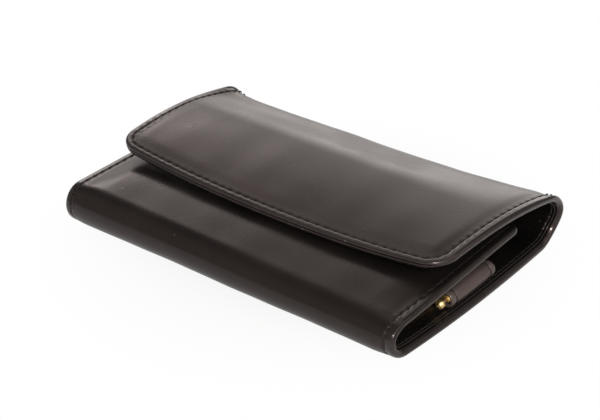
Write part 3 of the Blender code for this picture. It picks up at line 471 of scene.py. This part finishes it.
def shaped(name, panel, section, side_section, relief):
    """Shape a block into a panel: its faces to their depths, its sides to the section of the sewn edge."""
    stations, places = lines(panel)
    last = len(section) - 1
    block = blank(name, len(places) - 1, len(stations) - 1, last - 1)
    spots = spots_of(block)
    column = np.rint((spots[:, 0] + 1) / 2 * (len(places) - 1)).astype(int)
    row = np.rint((spots[:, 1] + 1) / 2 * (len(stations) - 1)).astype(int)
    level = np.rint(spots[:, 2] * last).astype(int)
    side, station = corner_turned(places[column], stations[row], panel)
    core_x, core_u, out_x, out_u, size = panel.nearest(side, station)
    border = (column == 0) | (column == len(places) - 1)
    if panel.free == "start":
        border |= row == 0
    if panel.free == "end":
        border |= row == len(stations) - 1
    section, side_section = MM * np.array(section), MM * np.array(side_section)
    sideways = side_share(side, station)[:, None]
    insets, depths = ((1 - sideways) * section[level] + sideways * side_section[level]).T
    x = np.where(border, core_x + out_x * (panel.corner - insets), side)
    u = np.where(border, core_u + out_u * (panel.corner - insets), station)
    free_u = {"start": u, "end": STRIP_END - u}.get(panel.free, 1.0)
    inset = np.where(border, insets, np.minimum(HALF - np.abs(side), free_u))
    inset = np.where((size > 1e-6) & ~border, panel.inset(side, station), inset)
    wider = SIDE_BAND * side_share(x, u) * (1 - smooth((inset - FIELD_INSET) / BAND_FADE))
    from_edge = inset - wider
    top = section[0, 1] + relief(x, u, from_edge, 0 * level, last, False)
    bottom = section[-1, 1] + relief(x, u, from_edge, 0 * level + last, last, False)
    inside = top + (bottom - top) * level / last
    depth = np.where(border, depths + relief(x, u, from_edge, level, last, True), inside)
    depth = np.where((level < FACE_LEVELS) & (depth < 0), depth * off_floor(u), depth)
    block.data.vertices.foreach_set("co", fold(x, u, depth).reshape(-1))
    rubbed = np.clip(1 - inset / RUBBED_WIDTH, 0, 1)
    charted(block, rubbed, (x, u), (along_seam(x, u) / PITCH, from_edge / MM))
    return block


def charted(thing, rubbed, flat, seam):
    """Give a thing the mask of its edges and its flat and stitch line places, and shade it smooth."""
    mesh = thing.data
    mask = mesh.attributes.new("edge", "FLOAT", "POINT")
    mask.data.foreach_set("value", rubbed.astype(np.float32))
    loops = np.empty(len(mesh.loops), int)
    mesh.loops.foreach_get("vertex_index", loops)
    chart = mesh.uv_layers.active or mesh.uv_layers.new(name="UVMap")
    chart.data.foreach_set("uv", np.stack(flat, -1)[loops].reshape(-1))
    along = mesh.uv_layers.new(name="seam")
    along.data.foreach_set("uv", np.stack(seam, -1)[loops].reshape(-1))
    chart.active_render = True
    outward(thing)
    bpy.ops.object.shade_smooth_by_angle(angle=math.radians(50))


def outward(thing):
    """Turn a piece's faces outward."""
    only(thing)
    bpy.ops.object.mode_set(mode="EDIT")
    bpy.ops.mesh.select_all(action="SELECT")
    bpy.ops.mesh.normals_make_consistent(inside=False)
    bpy.ops.object.mode_set(mode="OBJECT")


def needle_pull(count):
    """How much of the pull of a needle hole is felt at a count of stitches along a seam, from 0 to 1."""
    return (0.5 + 0.5 * np.cos(2 * math.pi * count)) ** 1.5


def padding(x, u, inset):
    """How far the inner flap's padded field stands up, pressed flat round the fastener."""
    from_fold = u - FRONT_MIDDLE
    from_stud = np.hypot(x, u - STRIP_END + STUD_INSET)
    edge = smooth((inset - FIELD_INSET) / PADDING_SLOPE) * smooth((from_fold - 4 * MM) / (15 * MM))
    fall = 1 - 0.6 * smooth((from_fold - 19 * MM) / (20 * MM))
    return FLAP_PADDING * edge * fall * (1 - np.exp(-(from_stud / STUD_HOLLOW) ** 4))


def face_relief(x, u, inset, level, last, border):
    """Waves over the outer face, the padded field, its gathers at the needle holes and those of the band."""
    from_seam = inset - SEAM_INSET
    pull = needle_pull(along_seam(x, u) / PITCH)
    near = bell(from_seam, np.where(from_seam > 0, 0.45 * MM, 0.38 * MM))
    round_front = bell(u - FRONT_MIDDLE, 7 * MM)
    pillow = PILLOW * (1 - 0.6 * round_front) * (1 - smooth(from_seam / PILLOW_REACH))
    swell = BAND_SWELL * bell(inset - 1.4 * MM, 0.35 * MM) * (1 - pull)
    field = np.where(level == 0, pillow - undulation(x, u) - padding(x, u, inset), 0)
    on_face = np.where(border, level < FACE_LEVELS, level == 0)
    return np.where(on_face, field + eased(u) + PINCH * near * pull - swell, 0)


def lining_relief(x, u, inset, level, last, border):
    """The lining's own waves, its gathers at the stitches and its creases inside the folds."""
    from_seam = inset - SEAM_INSET
    pull = needle_pull(along_seam(x, u) / PITCH)
    near = bell(from_seam, np.where(from_seam > 0, 0.8 * MM, 0.4 * MM))
    in_folds = bell(u - BACK_MIDDLE - 2 * MM, 9 * MM) + bell(u - FRONT_MIDDLE, 6 * MM)
    wander = 0.9 * np.sin(x / (3.1 * MM)) + 0.6 * np.sin(x / (1.3 * MM) + 2)
    crease = np.sin(u / (0.30 * MM) + wander) + 0.7 * np.sin(u / (0.47 * MM) - wander)
    waves = np.clip(2 * undulation(x, u + 40 * MM), -0.1 * MM, 0.1 * MM)
    seen = np.where(border, level > HIDDEN_LEVELS, level == last)
    return np.where(seen, waves + CREASE_HEIGHT * crease * in_folds - LINING_PINCH * near * pull, 0)


def bend(piece):
    """Bake a piece's placing into its mesh."""
    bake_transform(piece)


# Thread
def one_stitch(length):
    """A single stitch lying along X: a round thread whose ends go down into their holes."""
    bpy.ops.mesh.primitive_cylinder_add(vertices=6, radius=THREAD_RADIUS, depth=length,
                                        rotation=(0, math.pi / 2, 0))
    made = bpy.context.object
    bpy.ops.object.transform_apply(location=False, rotation=True, scale=False)
    cut_across(made, 0, length / 2, 3)
    for spot in made.data.vertices:
        share = abs(spot.co.x) / (length / 2)
        thin = 1 - 0.45 * share ** 4
        spot.co.y *= thin
        spot.co.z = spot.co.z * thin - STITCH_DIP * share ** 3
    return made


def stitch_row(count, pitch, length):
    """A straight row of stitches along X, the first at the origin, made by repeating one."""
    row = one_stitch(length)
    only(row)
    repeat = row.modifiers.new("repeat", "ARRAY")
    repeat.count = count
    repeat.use_relative_offset, repeat.use_constant_offset = False, True
    repeat.constant_offset_displace = (pitch, 0, 0)
    bpy.ops.object.modifier_apply(modifier="repeat")
    return row


def laid(row, place):
    """Lay a straight row on a piece: place takes lengths along, across and up to points."""
    row.data.vertices.foreach_set("co", place(*spots_of(row).T).reshape(-1))
    outward(row)
    bpy.ops.object.shade_smooth()
    return row


def joined(name, things):
    """Join things into one."""
    only(*things)
    bpy.ops.object.join()
    made = bpy.context.object
    made.name = made.data.name = name
    return made


def stitches(name, panel, depth, up):
    """The stitches of a panel along both halves of its seam, at a depth and standing up toward one face."""
    begin = 0 if panel.free == "start" else seam_at(panel.start)
    end = SEAM_LENGTH if panel.free == "end" else seam_at(panel.end)
    first = math.ceil(begin / PITCH - 0.5)
    count = math.ceil(end / PITCH - 0.5) - first
    halves = []
    for way in (1, -1):
        def place(along, across, high):
            x, u, out_x, out_u = seam_spot(along + (first + 0.5) * PITCH)
            across = across - SIDE_BAND * side_share(x, u)
            return fold(way * (x + out_x * across), u + out_u * across, depth - up * high)
        halves.append(laid(stitch_row(count, PITCH, STITCH_LENGTH), place))
    return joined(name, halves)


# The strap round the plate's bead
def strap_line():
    """The strap's middle line seen from the side, as closely set x and z."""
    turn = np.radians(np.linspace(-90, 90, 41))
    slope = np.linspace(0, 1, 21)[1:]
    high = BEAD_Z + STRAP_BEND_RADIUS
    x = np.concatenate([[STRAP_TAIL_X], BEAD_X + STRAP_BEND_RADIUS * np.cos(turn),
                        BEAD_X - STRAP_SLOPE * slope, [STRAP_TAIL_X]])
    z = np.concatenate([[BEAD_Z - STRAP_BEND_RADIUS], BEAD_Z + STRAP_BEND_RADIUS * np.sin(turn),
                        high + (STRAP_TOP_Z - high) * smooth(slope), [STRAP_TOP_Z]])
    return x, z


def on_strap(s, y, depth):
    """A point of the strap at a length along it, a place across it and a depth under its outer face."""
    line_x, line_z = strap_line()
    lengths = np.concatenate([[0], np.cumsum(np.hypot(np.diff(line_x), np.diff(line_z)))])
    s = np.clip(s, 0, lengths[-1])
    step = 0.15 * MM

    def line_at(s):
        return np.stack([np.interp(s, lengths, line_x), np.interp(s, lengths, line_z)])

    x, z = line_at(s)
    ahead_x, ahead_z = line_at(s + step) - line_at(s - step)
    size = np.hypot(ahead_x, ahead_z)
    out = STRAP_LEATHER / 2 - depth
    return np.stack([x + ahead_z / size * out, STRAP_Y + y, z - ahead_x / size * out], -1)


def strap_length():
    """Length of the strap's middle line."""
    line_x, line_z = strap_line()
    return float(np.sum(np.hypot(np.diff(line_x), np.diff(line_z))))


def sewn_strap():
    """The leather strap, swept from its section: padded middle, stitch grooves and rounded sides."""
    half = [(0, -0.10), (2, -0.10), (4, -0.08), (5.5, -0.04), (6.5, 0.02), (7.0, 0.08), (7.25, 0.16)]
    half += [(7.45, 0.24), (7.65, 0.15), (7.85, 0.02), (8.2, -0.05), (8.7, -0.04), (9.1, 0.02)]
    half += [(9.33, 0.14), (9.44, 0.3), (9.45, 0.4), (9.44, 0.5), (9.33, 0.66), (9.1, 0.76)]
    half += [(8.7, 0.8), (6.0, 0.8), (3.0, 0.8)]
    section = MM * np.array(half + [(0, 0.8)] + [(-y, d) for y, d in half[:0:-1]])
    sides, levels = len(section), round(strap_length() / STRAP_SQUARE)
    bpy.ops.mesh.primitive_cylinder_add(vertices=sides, radius=1, depth=1)
    made = bpy.context.object
    made.name = made.data.name = "sewn_strap"
    first = made.data.vertices[0].co
    start = math.atan2(first.y, first.x)
    cut_across(made, 2, 0.5, levels - 1)
    spots = spots_of(made)
    turn = np.arctan2(spots[:, 1], spots[:, 0]) - start
    corner = np.rint(turn / (2 * math.pi) * sides).astype(int) % sides
    s = (spots[:, 2] + 0.5) * strap_length()
    y, depth = section[corner].T
    from_seam = STRAP_SEAM - np.abs(y)
    near = bell(from_seam, 0.55 * MM) * (depth < STRAP_FACE)
    pinched = depth + LINING_PINCH * near * needle_pull(s / STRAP_PITCH)
    made.data.vertices.foreach_set("co", on_strap(s, y, pinched).reshape(-1))
    # The underside is kept far from the stitch line, so that it has no holes
    from_edge = (SEAM_INSET + from_seam) / MM + 20 * (depth > STRAP_FACE)
    charted(made, smooth((np.abs(y) - 9.0 * MM) / (0.4 * MM)), (s, y), (s / STRAP_PITCH, from_edge))
    return made


def strap_stitches():
    """The two rows of stitches along the strap."""
    count = round(strap_length() / STRAP_PITCH) - 2
    rows = []
    for way in (1, -1):
        def place(along, across, high):
            return on_strap(along + 1.5 * STRAP_PITCH, way * STRAP_SEAM + across, STRAP_THREAD - high)
        rows.append(laid(stitch_row(count, STRAP_PITCH, STRAP_STITCH), place))
    return joined("strap_stitches", rows)


# Finishes
def finish(name, colour, roughness, metallic=0.0):
    """A material with plain values, its node tree and its shader."""
    made = bpy.data.materials.new(name)
    made.use_nodes = True
    shader = made.node_tree.nodes["Principled BSDF"]
    shader.inputs["Base Color"].default_value = (*colour, 1)
    shader.inputs["Roughness"].default_value = roughness
    shader.inputs["Metallic"].default_value = metallic
    return made, made.node_tree, shader


def effect(name, inputs, outputs):
    """An empty node group with number sockets, and its two ends."""
    group = bpy.data.node_groups.new(name, "ShaderNodeTree")
    for socket in inputs:
        group.interface.new_socket(socket, in_out="INPUT", socket_type="NodeSocketFloat")
    for socket in outputs:
        group.interface.new_socket(socket, in_out="OUTPUT", socket_type="NodeSocketFloat")
    return group, group.nodes.new("NodeGroupInput"), group.nodes.new("NodeGroupOutput")


def feed(value, node, name):
    """Link a socket to an input of a node in its own tree."""
    value.id_data.links.new(value, node.inputs[name])


def spot_in(tree):
    """The place on the object, for the textures of a tree."""
    return tree.nodes.new("ShaderNodeTexCoord").outputs["Object"]


def figure(operation, *values):
    """A Math node fed by sockets and plain numbers; its result."""
    tree = next(value.id_data for value in values if not isinstance(value, (int, float)))
    made = tree.nodes.new("ShaderNodeMath")
    made.operation = operation
    for socket, value in zip(made.inputs, values):
        if isinstance(value, (int, float)):
            socket.default_value = value
        else:
            tree.links.new(value, socket)
    return made.outputs[0]


def total(first, *others):
    """Sockets and plain numbers added up."""
    for other in others:
        first = figure("ADD", first, other)
    return first


def product(first, *others):
    """Sockets and plain numbers multiplied."""
    for other in others:
        first = figure("MULTIPLY", first, other)
    return first


def ramp(value, low, high, to_low=0.0, to_high=1.0):
    """A Map Range node, held to its ends; its result."""
    made = value.id_data.nodes.new("ShaderNodeMapRange")
    made.interpolation_type = "SMOOTHSTEP"
    for name, number in zip(("From Min", "From Max", "To Min", "To Max"), (low, high, to_low, to_high)):
        made.inputs[name].default_value = number
    feed(value, made, "Value")
    return made.outputs["Result"]


def noise(spot, scale, detail=2.0, stretch=None):
    """A noise texture at a place, drawn out along the axes if asked; its Fac."""
    nodes = spot.id_data.nodes
    if stretch:
        long = nodes.new("ShaderNodeMapping")
        long.inputs["Scale"].default_value = stretch
        feed(spot, long, "Vector")
        spot = long.outputs["Vector"]
    made = nodes.new("ShaderNodeTexNoise")
    made.inputs["Detail"].default_value = detail
    if isinstance(scale, (int, float)):
        made.inputs["Scale"].default_value = scale
    else:
        feed(scale, made, "Scale")
    feed(spot, made, "Vector")
    return made.outputs["Fac"]


def tint(factor, first, second):
    """A colour Mix node from colours or sockets; its result."""
    made = factor.id_data.nodes.new("ShaderNodeMix")
    made.data_type = "RGBA"
    for name, value in (("A", first), ("B", second)):
        if isinstance(value, tuple):
            made.inputs[name].default_value = (*value, 1)
        else:
            feed(value, made, name)
    feed(factor, made, "Factor")
    return made.outputs["Result"]


def grain_group():
    """Fine leather grain: the height of its pebbles and a mask that wanders over the skin."""
    group, start, end = effect("leather_grain", ["Size"], ["Height", "Patches"])
    spot = spot_in(group)
    pores = group.nodes.new("ShaderNodeTexVoronoi")
    pores.feature = "SMOOTH_F1"
    feed(spot, pores, "Vector")
    feed(start.outputs["Size"], pores, "Scale")
    fine = noise(spot, product(start.outputs["Size"], 0.6), 3.0)
    feed(total(pores.outputs["Distance"], fine), end, "Height")
    feed(noise(spot, 60.0, 4.0), end, "Patches")
    return group


def seam_group():
    """The stitch line: masks of its needle holes and its band, and the height of the fine gathers off it."""
    group, start, end = effect("stitch_line", [], ["Holes", "Gathers", "Band"])
    where = group.nodes.new("ShaderNodeUVMap")
    where.uv_map = "seam"
    parts = group.nodes.new("ShaderNodeSeparateXYZ")
    feed(where.outputs["UV"], parts, 0)
    turn = total(figure("FRACT", total(parts.outputs["X"], 0.5)), -0.5)
    along = product(turn, STITCH_PITCH / MM)
    aside = total(parts.outputs["Y"], -SEAM_INSET / MM)
    far = figure("SQRT", total(product(along, along), product(aside, aside)))
    feed(ramp(far, 0.12, 0.34, 1.0, 0.0), end, "Holes")
    feed(ramp(aside, -0.6, -0.2, 1.0, 0.0), end, "Band")
    drawn = noise(where.outputs["UV"], 1.0, 2.0, (3.2, 0.32, 1))
    near = ramp(figure("ABSOLUTE", aside), 0.2, 2.0, 1.0, 0.0)
    feed(product(drawn, near), end, "Gathers")
    return group


def wear_group():
    """Rubbing along the edges, as a mask broken up by noise."""
    group, start, end = effect("edge_wear", ["Amount"], ["Mask"])
    edge = group.nodes.new("ShaderNodeAttribute")
    edge.attribute_name = "edge"
    rubbed = ramp(noise(spot_in(group), 420.0, 4.0), 0.35, 0.7)
    feed(product(edge.outputs["Fac"], rubbed, start.outputs["Amount"]), end, "Mask")
    return group


def dust_group():
    """A few specks of dust, as a mask."""
    group, start, end = effect("dust_specks", ["Amount"], ["Mask"])
    spot = spot_in(group)
    specks = group.nodes.new("ShaderNodeTexVoronoi")
    specks.inputs["Scale"].default_value = 420.0
    feed(spot, specks, "Vector")
    small = ramp(specks.outputs["Distance"], 0.07, 0.12, 1.0, 0.0)
    few = ramp(noise(spot, 900.0, 1.0), 0.66, 0.70)
    feed(product(small, few, start.outputs["Amount"]), end, "Mask")
    return group


def scratch_group():
    """Hairline scratches and a cloudy film, for metal that has been handled."""
    group, start, end = effect("fine_scratches", ["Size"], ["Height", "Film"])
    spot = spot_in(group)
    one = noise(spot, start.outputs["Size"], 3.0, (1.0, 0.06, 0.3))
    two = noise(spot, start.outputs["Size"], 3.0, (0.08, 1.0, 0.4))
    feed(total(one, two), end, "Height")
    feed(noise(spot, 260.0, 4.0), end, "Film")
    return group


GRAIN, SEAM, WEAR, DUST, SCRATCHES = grain_group(), seam_group(), wear_group(), dust_group(), scratch_group()


def put(tree, group, **values):
    """Place an effect in a material with its own values; its outputs."""
    made = tree.nodes.new("ShaderNodeGroup")
    made.node_tree = group
    for name, value in values.items():
        made.inputs[name].default_value = value
    return made.outputs


def raised(shader, height):
    """Bump from a height in metres."""
    bump = shader.id_data.nodes.new("ShaderNodeBump")
    bump.inputs["Strength"].default_value = 1.0
    bump.inputs["Distance"].default_value = 1.0
    feed(height, bump, "Height")
    feed(bump.outputs["Normal"], shader, "Normal")


# Painted shade for the needle holes: near black, where the mesh has no real hole
HOLE_SHADE_COLOUR = (0.003, 0.003, 0.003)
DUST_COLOUR = (0.30, 0.28, 0.26)


def leather_finish(name, dye, roughness, size, pebble, shine=0.5, specks=0.5, polish=0.4):
    """Dyed leather: fine grain, patches of depth in the dye, rubbed edges, painted shade in the needle holes
    and a little dust.
    """
    colour, lighter, worn = dye
    made, tree, shader = finish(name, colour, roughness)
    shader.inputs["Specular IOR Level"].default_value = shine
    shader.inputs["Specular Tint"].default_value = (1.0, 0.77, 0.74, 1)
    shader.inputs["Coat Roughness"].default_value = 0.10
    skin, seam = put(tree, GRAIN, Size=size), put(tree, SEAM)
    rubbed, dust = put(tree, WEAR, Amount=0.8), put(tree, DUST, Amount=specks)
    shade = tint(ramp(skin["Patches"], 0.3, 0.7), colour, lighter)
    shade = tint(rubbed["Mask"], shade, worn)
    # Painted shade in the needle holes
    shade = tint(seam["Holes"], shade, HOLE_SHADE_COLOUR)
    feed(tint(dust["Mask"], shade, DUST_COLOUR), shader, "Base Color")
    rough = ramp(skin["Patches"], 0.3, 0.7, roughness - 0.04, roughness + 0.05)
    rough = total(rough, product(rubbed["Mask"], -0.10), product(seam["Holes"], 0.4))
    feed(rough, shader, "Roughness")
    feed(product(seam["Band"], polish), shader, "Coat Weight")
    pebbles = product(skin["Height"], pebble * MM)
    gathers = product(seam["Gathers"], 0.06 * MM)
    raised(shader, total(pebbles, gathers, product(seam["Holes"], -0.06 * MM)))
    return made


def thread_finish():
    """Twisted waxed thread."""
    made, tree, shader = finish("black_thread", (0.030, 0.026, 0.024), 0.6)
    shader.inputs["Specular IOR Level"].default_value = 0.25
    spot = spot_in(tree)
    plies = tree.nodes.new("ShaderNodeTexWave")
    plies.bands_direction = "DIAGONAL"
    plies.inputs["Scale"].default_value = 900.0
    feed(spot, plies, "Vector")
    fuzz = noise(spot, 5200.0, 2.0)
    shade = tint(fuzz, (0.012, 0.011, 0.010), (0.030, 0.026, 0.024))
    feed(shade, shader, "Base Color")
    feed(ramp(fuzz, 0.3, 0.7, 0.50, 0.65), shader, "Roughness")
    raised(shader, product(total(plies.outputs["Fac"], fuzz), 0.03 * MM))
    return made


def gilt_finish(name, bright, tarnished, roughness):
    """Gilt metal, polished and handled."""
    made, tree, shader = finish(name, bright, roughness, 1.0)
    marks, dust = put(tree, SCRATCHES, Size=1500.0), put(tree, DUST, Amount=0.25)
    shade = tint(ramp(marks["Film"], 0.42, 0.72), bright, tarnished)
    feed(tint(dust["Mask"], shade, (0.45, 0.40, 0.32)), shader, "Base Color")
    rough = ramp(marks["Film"], 0.35, 0.75, roughness - 0.04, roughness + 0.12)
    feed(rough, shader, "Roughness")
    raised(shader, product(marks["Height"], 0.006 * MM))
    return made


def board_finish():
    """Grey fibre board."""
    made, tree, shader = finish("grey_board", (0.33, 0.31, 0.28), 0.9)
    spot = spot_in(tree)
    fibres = total(noise(spot, 900.0, 3.0, (1.0, 0.12, 1.0)),
                   noise(spot, 1300.0, 2.0, (0.1, 1.0, 1.0)))
    shade = tint(ramp(fibres, 0.8, 1.2), (0.27, 0.25, 0.22), (0.40, 0.38, 0.34))
    feed(shade, shader, "Base Color")
    feed(ramp(fibres, 0.8, 1.2, 0.82, 0.95), shader, "Roughness")
    raised(shader, product(fibres, 0.03 * MM))
    return made


def dress(thing, look):
    """Give a thing one material."""
    thing.data.materials.clear()
    thing.data.materials.append(look)


# Each dye's colour, its lighter patches and its rubbed edges
BLACK_DYE = ((0.006, 0.005, 0.0045), (0.010, 0.0085, 0.0075), (0.020, 0.016, 0.014))
LINING_DYE = ((0.004, 0.0037, 0.0035), (0.007, 0.0063, 0.0058), (0.016, 0.014, 0.012))
STRAP_DYE = ((0.056, 0.043, 0.040), (0.078, 0.060, 0.055), (0.085, 0.068, 0.060))
outer_leather = leather_finish("smooth_black_leather", BLACK_DYE, 0.26, 1500, 0.012)
# The outer leather again with less shine and coat, so that the front fold and inner flap look darker: painted
# shade
shaded_front_leather = leather_finish("smooth_black_leather_front_shaded", BLACK_DYE, 0.27, 1500, 0.012,
                               shine=0.36, polish=0.3)
inner_leather = leather_finish("black_lining_leather", LINING_DYE, 0.27, 1700, 0.010, specks=0.15)
strap_leather = leather_finish("brown_black_strap_leather", STRAP_DYE, 0.40, 1600, 0.014)
thread = thread_finish()
gilt = gilt_finish("gilt_metal", (1.0, 0.76, 0.36), (0.92, 0.61, 0.23), 0.40)
spring_metal = gilt_finish("gilt_spring_metal", (0.88, 0.66, 0.33), (0.70, 0.50, 0.22), 0.20)
board = board_finish()

# The leather and its lining
WALLS = (
    ("outer", OUTER_PANEL, outer_leather, ["outer_flap_leather"], ["outer_flap_lining"]),
    ("back", BACK_PANEL, outer_leather, ["back_fold_leather", "base_leather"],
     ["back_fold_lining", "base_lining"]),
    ("front", FRONT_PANEL, shaded_front_leather, ["front_fold_leather"], ["front_fold_lining"]),
    ("inner", INNER_PANEL, shaded_front_leather, ["inner_flap_leather"], ["inner_flap_lining"]),
)
for name, panel, leather, skins, linings in WALLS:
    skin = shaped(f"{name}_skin", panel, leather_rim(), side_rim(), face_relief)
    dress(skin, leather)
    bend(skin)
    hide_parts(*skins)
    inside = shaped(f"{name}_inside", panel, lining_rim(), drawn_in(lining_rim(), 0.9), lining_relief)
    dress(inside, inner_leather)
    bend(inside)
    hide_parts(*linings)
    for face, depth, up in (("outside", OUTSIDE_THREAD, 1), ("inside", INSIDE_THREAD, -1)):
        sewn = stitches(f"{name}_stitches_{face}", panel, depth, up)
        dress(sewn, thread)
        bend(sewn)

strap = sewn_strap()
dress(strap, strap_leather)
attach(strap, "base")
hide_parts("hook_strap")
strap_thread = strap_stitches()
dress(strap_thread, thread)
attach(strap_thread, "base")

for name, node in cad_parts.items():
    if node.hide_render:
        continue
    if name.endswith("_board"):
        dress(node, board)
    elif name.startswith("hook_gate"):
        dress(node, spring_metal)
    else:
        dress(node, gilt)


# Floor, lights and camera
FLOOR_Z = -0.03 * MM
ROOM_LIGHT = 0.25
GLOW = 0.8
UPPER_GLOW = 0.9
LOW_GLOW = 1.0
LEFT_PANEL = 4.0
RIGHT_PANEL = 0.9
FRONT_LIGHT = 0.5
OVERHEAD = 0.65
CAMERA_AZIMUTH = math.radians(38.46)
CAMERA_ELEVATION = math.radians(28.59)
CAMERA_DISTANCE = 342.22 * MM
CAMERA_AIM = Vector((2.457, -6.592, 10.143)) * MM
CAMERA_LENS = 82.094


def floor():
    """A pale floor: nearly white to the camera, and white to the leather's sheen in front and behind."""
    bpy.ops.mesh.primitive_plane_add(size=6, location=(0, 0, FLOOR_Z))
    made = bpy.context.object
    made.name = "floor"
    look, tree, shader = finish("pale_floor", (0.76, 0.76, 0.76), 0.9)
    nodes = tree.nodes
    white = nodes.new("ShaderNodeEmission")
    white.inputs["Color"].default_value = (1, 1, 1, 1)
    path = nodes.new("ShaderNodeLightPath").outputs
    place = spot_in(tree)
    parts = nodes.new("ShaderNodeSeparateXYZ")
    feed(place, parts, 0)
    x, y, _ = parts.outputs
    # How white the floor is where the leather mirrors it: most in front, less behind, little beside it
    before = ramp(y, -0.045, -0.025, 1.0, 0.1)
    behind = product(ramp(y, 0.035, 0.055, 0.0, 0.6), ramp(x, -0.12, -0.07))
    shown = product(path["Is Glossy Ray"], figure("MAXIMUM", before, behind))
    seen = figure("MAXIMUM", path["Is Camera Ray"], shown)
    seen = figure("MAXIMUM", seen, path["Is Transmission Ray"])
    size = nodes.new("ShaderNodeVectorMath")
    size.operation = "LENGTH"
    feed(place, size, 0)
    far = ramp(size.outputs["Value"], 0.02, 0.08, 0.86, 1.0)
    mix = nodes.new("ShaderNodeMixShader")
    feed(product(seen, far), mix, "Fac")
    feed(shader.outputs[0], mix, 1)
    feed(white.outputs[0], mix, 2)
    feed(mix.outputs[0], nodes["Material Output"], "Surface")
    dress(made, look)


def room():
    """A soft studio: a pale glow behind, panels left and right, and light in front and overhead."""
    world = bpy.context.scene.world or bpy.data.worlds.new("room")
    bpy.context.scene.world = world
    world.use_nodes = True
    tree = world.node_tree
    nodes = tree.nodes
    nodes.clear()
    way = nodes.new("ShaderNodeSeparateXYZ")
    feed(nodes.new("ShaderNodeTexCoord").outputs["Generated"], way, 0)
    side, back, high = (way.outputs[axis] for axis in "XYZ")

    def fall(value, start, end):
        """A ramp from one down to nothing."""
        return ramp(value, start, end, 1, 0)

    def right_of(azimuth, soft, shift=0.0):
        """Nothing left of an upright plane behind the case, one right of it."""
        angle = math.radians(azimuth)
        aside = total(product(side, math.cos(angle)), product(back, math.sin(angle)), shift)
        return ramp(aside, -soft, soft)

    not_right = fall(side, -0.55, -0.05)
    low_down = fall(high, 0.0, 0.6)
    slant = ramp(high, 0.47, 0.56, -0.08, 0.06)
    # Each light's strength and the shares of it that its directions let through
    lights = [
        (GLOW, right_of(44, 0.2), ramp(back, 0.0, 0.35), fall(high, 0.56, 0.74), not_right),
        (UPPER_GLOW, ramp(right_of(51.5, 0.05), 0, 1, 1, 0.4), right_of(66, 0.10),
         ramp(back, 0.1, 0.4), fall(high, 0.76, 0.95), not_right),
        (LOW_GLOW, right_of(33, 0.25), ramp(back, 0.0, 0.4), low_down, low_down, not_right),
        (LEFT_PANEL, fall(right_of(48, 0.05, slant), 0, 1), right_of(59, 0.06), ramp(back, 0.2, 0.42),
         ramp(high, 0.36, 0.48), fall(high, 0.54, 0.62)),
        (RIGHT_PANEL, ramp(side, 0.45, 0.65), ramp(high, 0.30, 0.45), fall(high, 0.70, 0.85)),
        (FRONT_LIGHT, fall(back, -0.3, 0.0), ramp(high, -0.02, 0.15), fall(high, 0.6, 0.95),
         ramp(side, -0.1, 0.35, 0.6, 0.9)),
        (OVERHEAD, ramp(high, 0.80, 0.93), ramp(back, -0.1, 0.25)),
    ]
    light = total(ROOM_LIGHT, *(product(*parts) for parts in lights))
    plain, white = nodes.new("ShaderNodeBackground"), nodes.new("ShaderNodeBackground")
    plain.inputs["Color"].default_value = (1.0, 0.95, 0.92, 1)
    feed(light, plain, "Strength")
    white.inputs["Color"].default_value = (1, 1, 1, 1)
    path, mix = nodes.new("ShaderNodeLightPath"), nodes.new("ShaderNodeMixShader")
    feed(path.outputs["Is Camera Ray"], mix, "Fac")
    feed(plain.outputs[0], mix, 1)
    feed(white.outputs[0], mix, 2)
    feed(mix.outputs[0], nodes.new("ShaderNodeOutputWorld"), "Surface")


def softbox(name, place, aim, size, power, colour):
    """A flat lamp at a place, turned to its aim."""
    lamp = bpy.data.lights.new(name, "AREA")
    lamp.shape = "RECTANGLE"
    lamp.size, lamp.size_y = size
    lamp.energy = power
    lamp.color = colour
    box = bpy.data.objects.new(name, lamp)
    box.location = place
    way = Vector(aim) - Vector(place)
    box.rotation_euler = way.to_track_quat("-Z", "Y").to_euler()
    bpy.context.scene.collection.objects.link(box)


def camera():
    """The camera, where the photograph was taken from."""
    level = math.cos(CAMERA_ELEVATION)
    way = Vector((level * math.sin(CAMERA_AZIMUTH), -level * math.cos(CAMERA_AZIMUTH),
                  math.sin(CAMERA_ELEVATION)))
    data = bpy.data.cameras.new("camera")
    data.lens, data.sensor_width, data.clip_start = CAMERA_LENS, 36, 0.01
    seen = bpy.data.objects.new("camera", data)
    seen.location = CAMERA_AIM + way * CAMERA_DISTANCE
    seen.rotation_euler = (-way).to_track_quat("-Z", "Y").to_euler()
    bpy.context.scene.collection.objects.link(seen)
    bpy.context.scene.camera = seen


floor()
room()
softbox("near_light", (0.42, -0.45, 0.40), (0, 0, 0.01), (0.12, 0.05), 2.4, (1.0, 0.97, 0.94))
camera()
bpy.context.scene.view_settings.view_transform = "Standard"
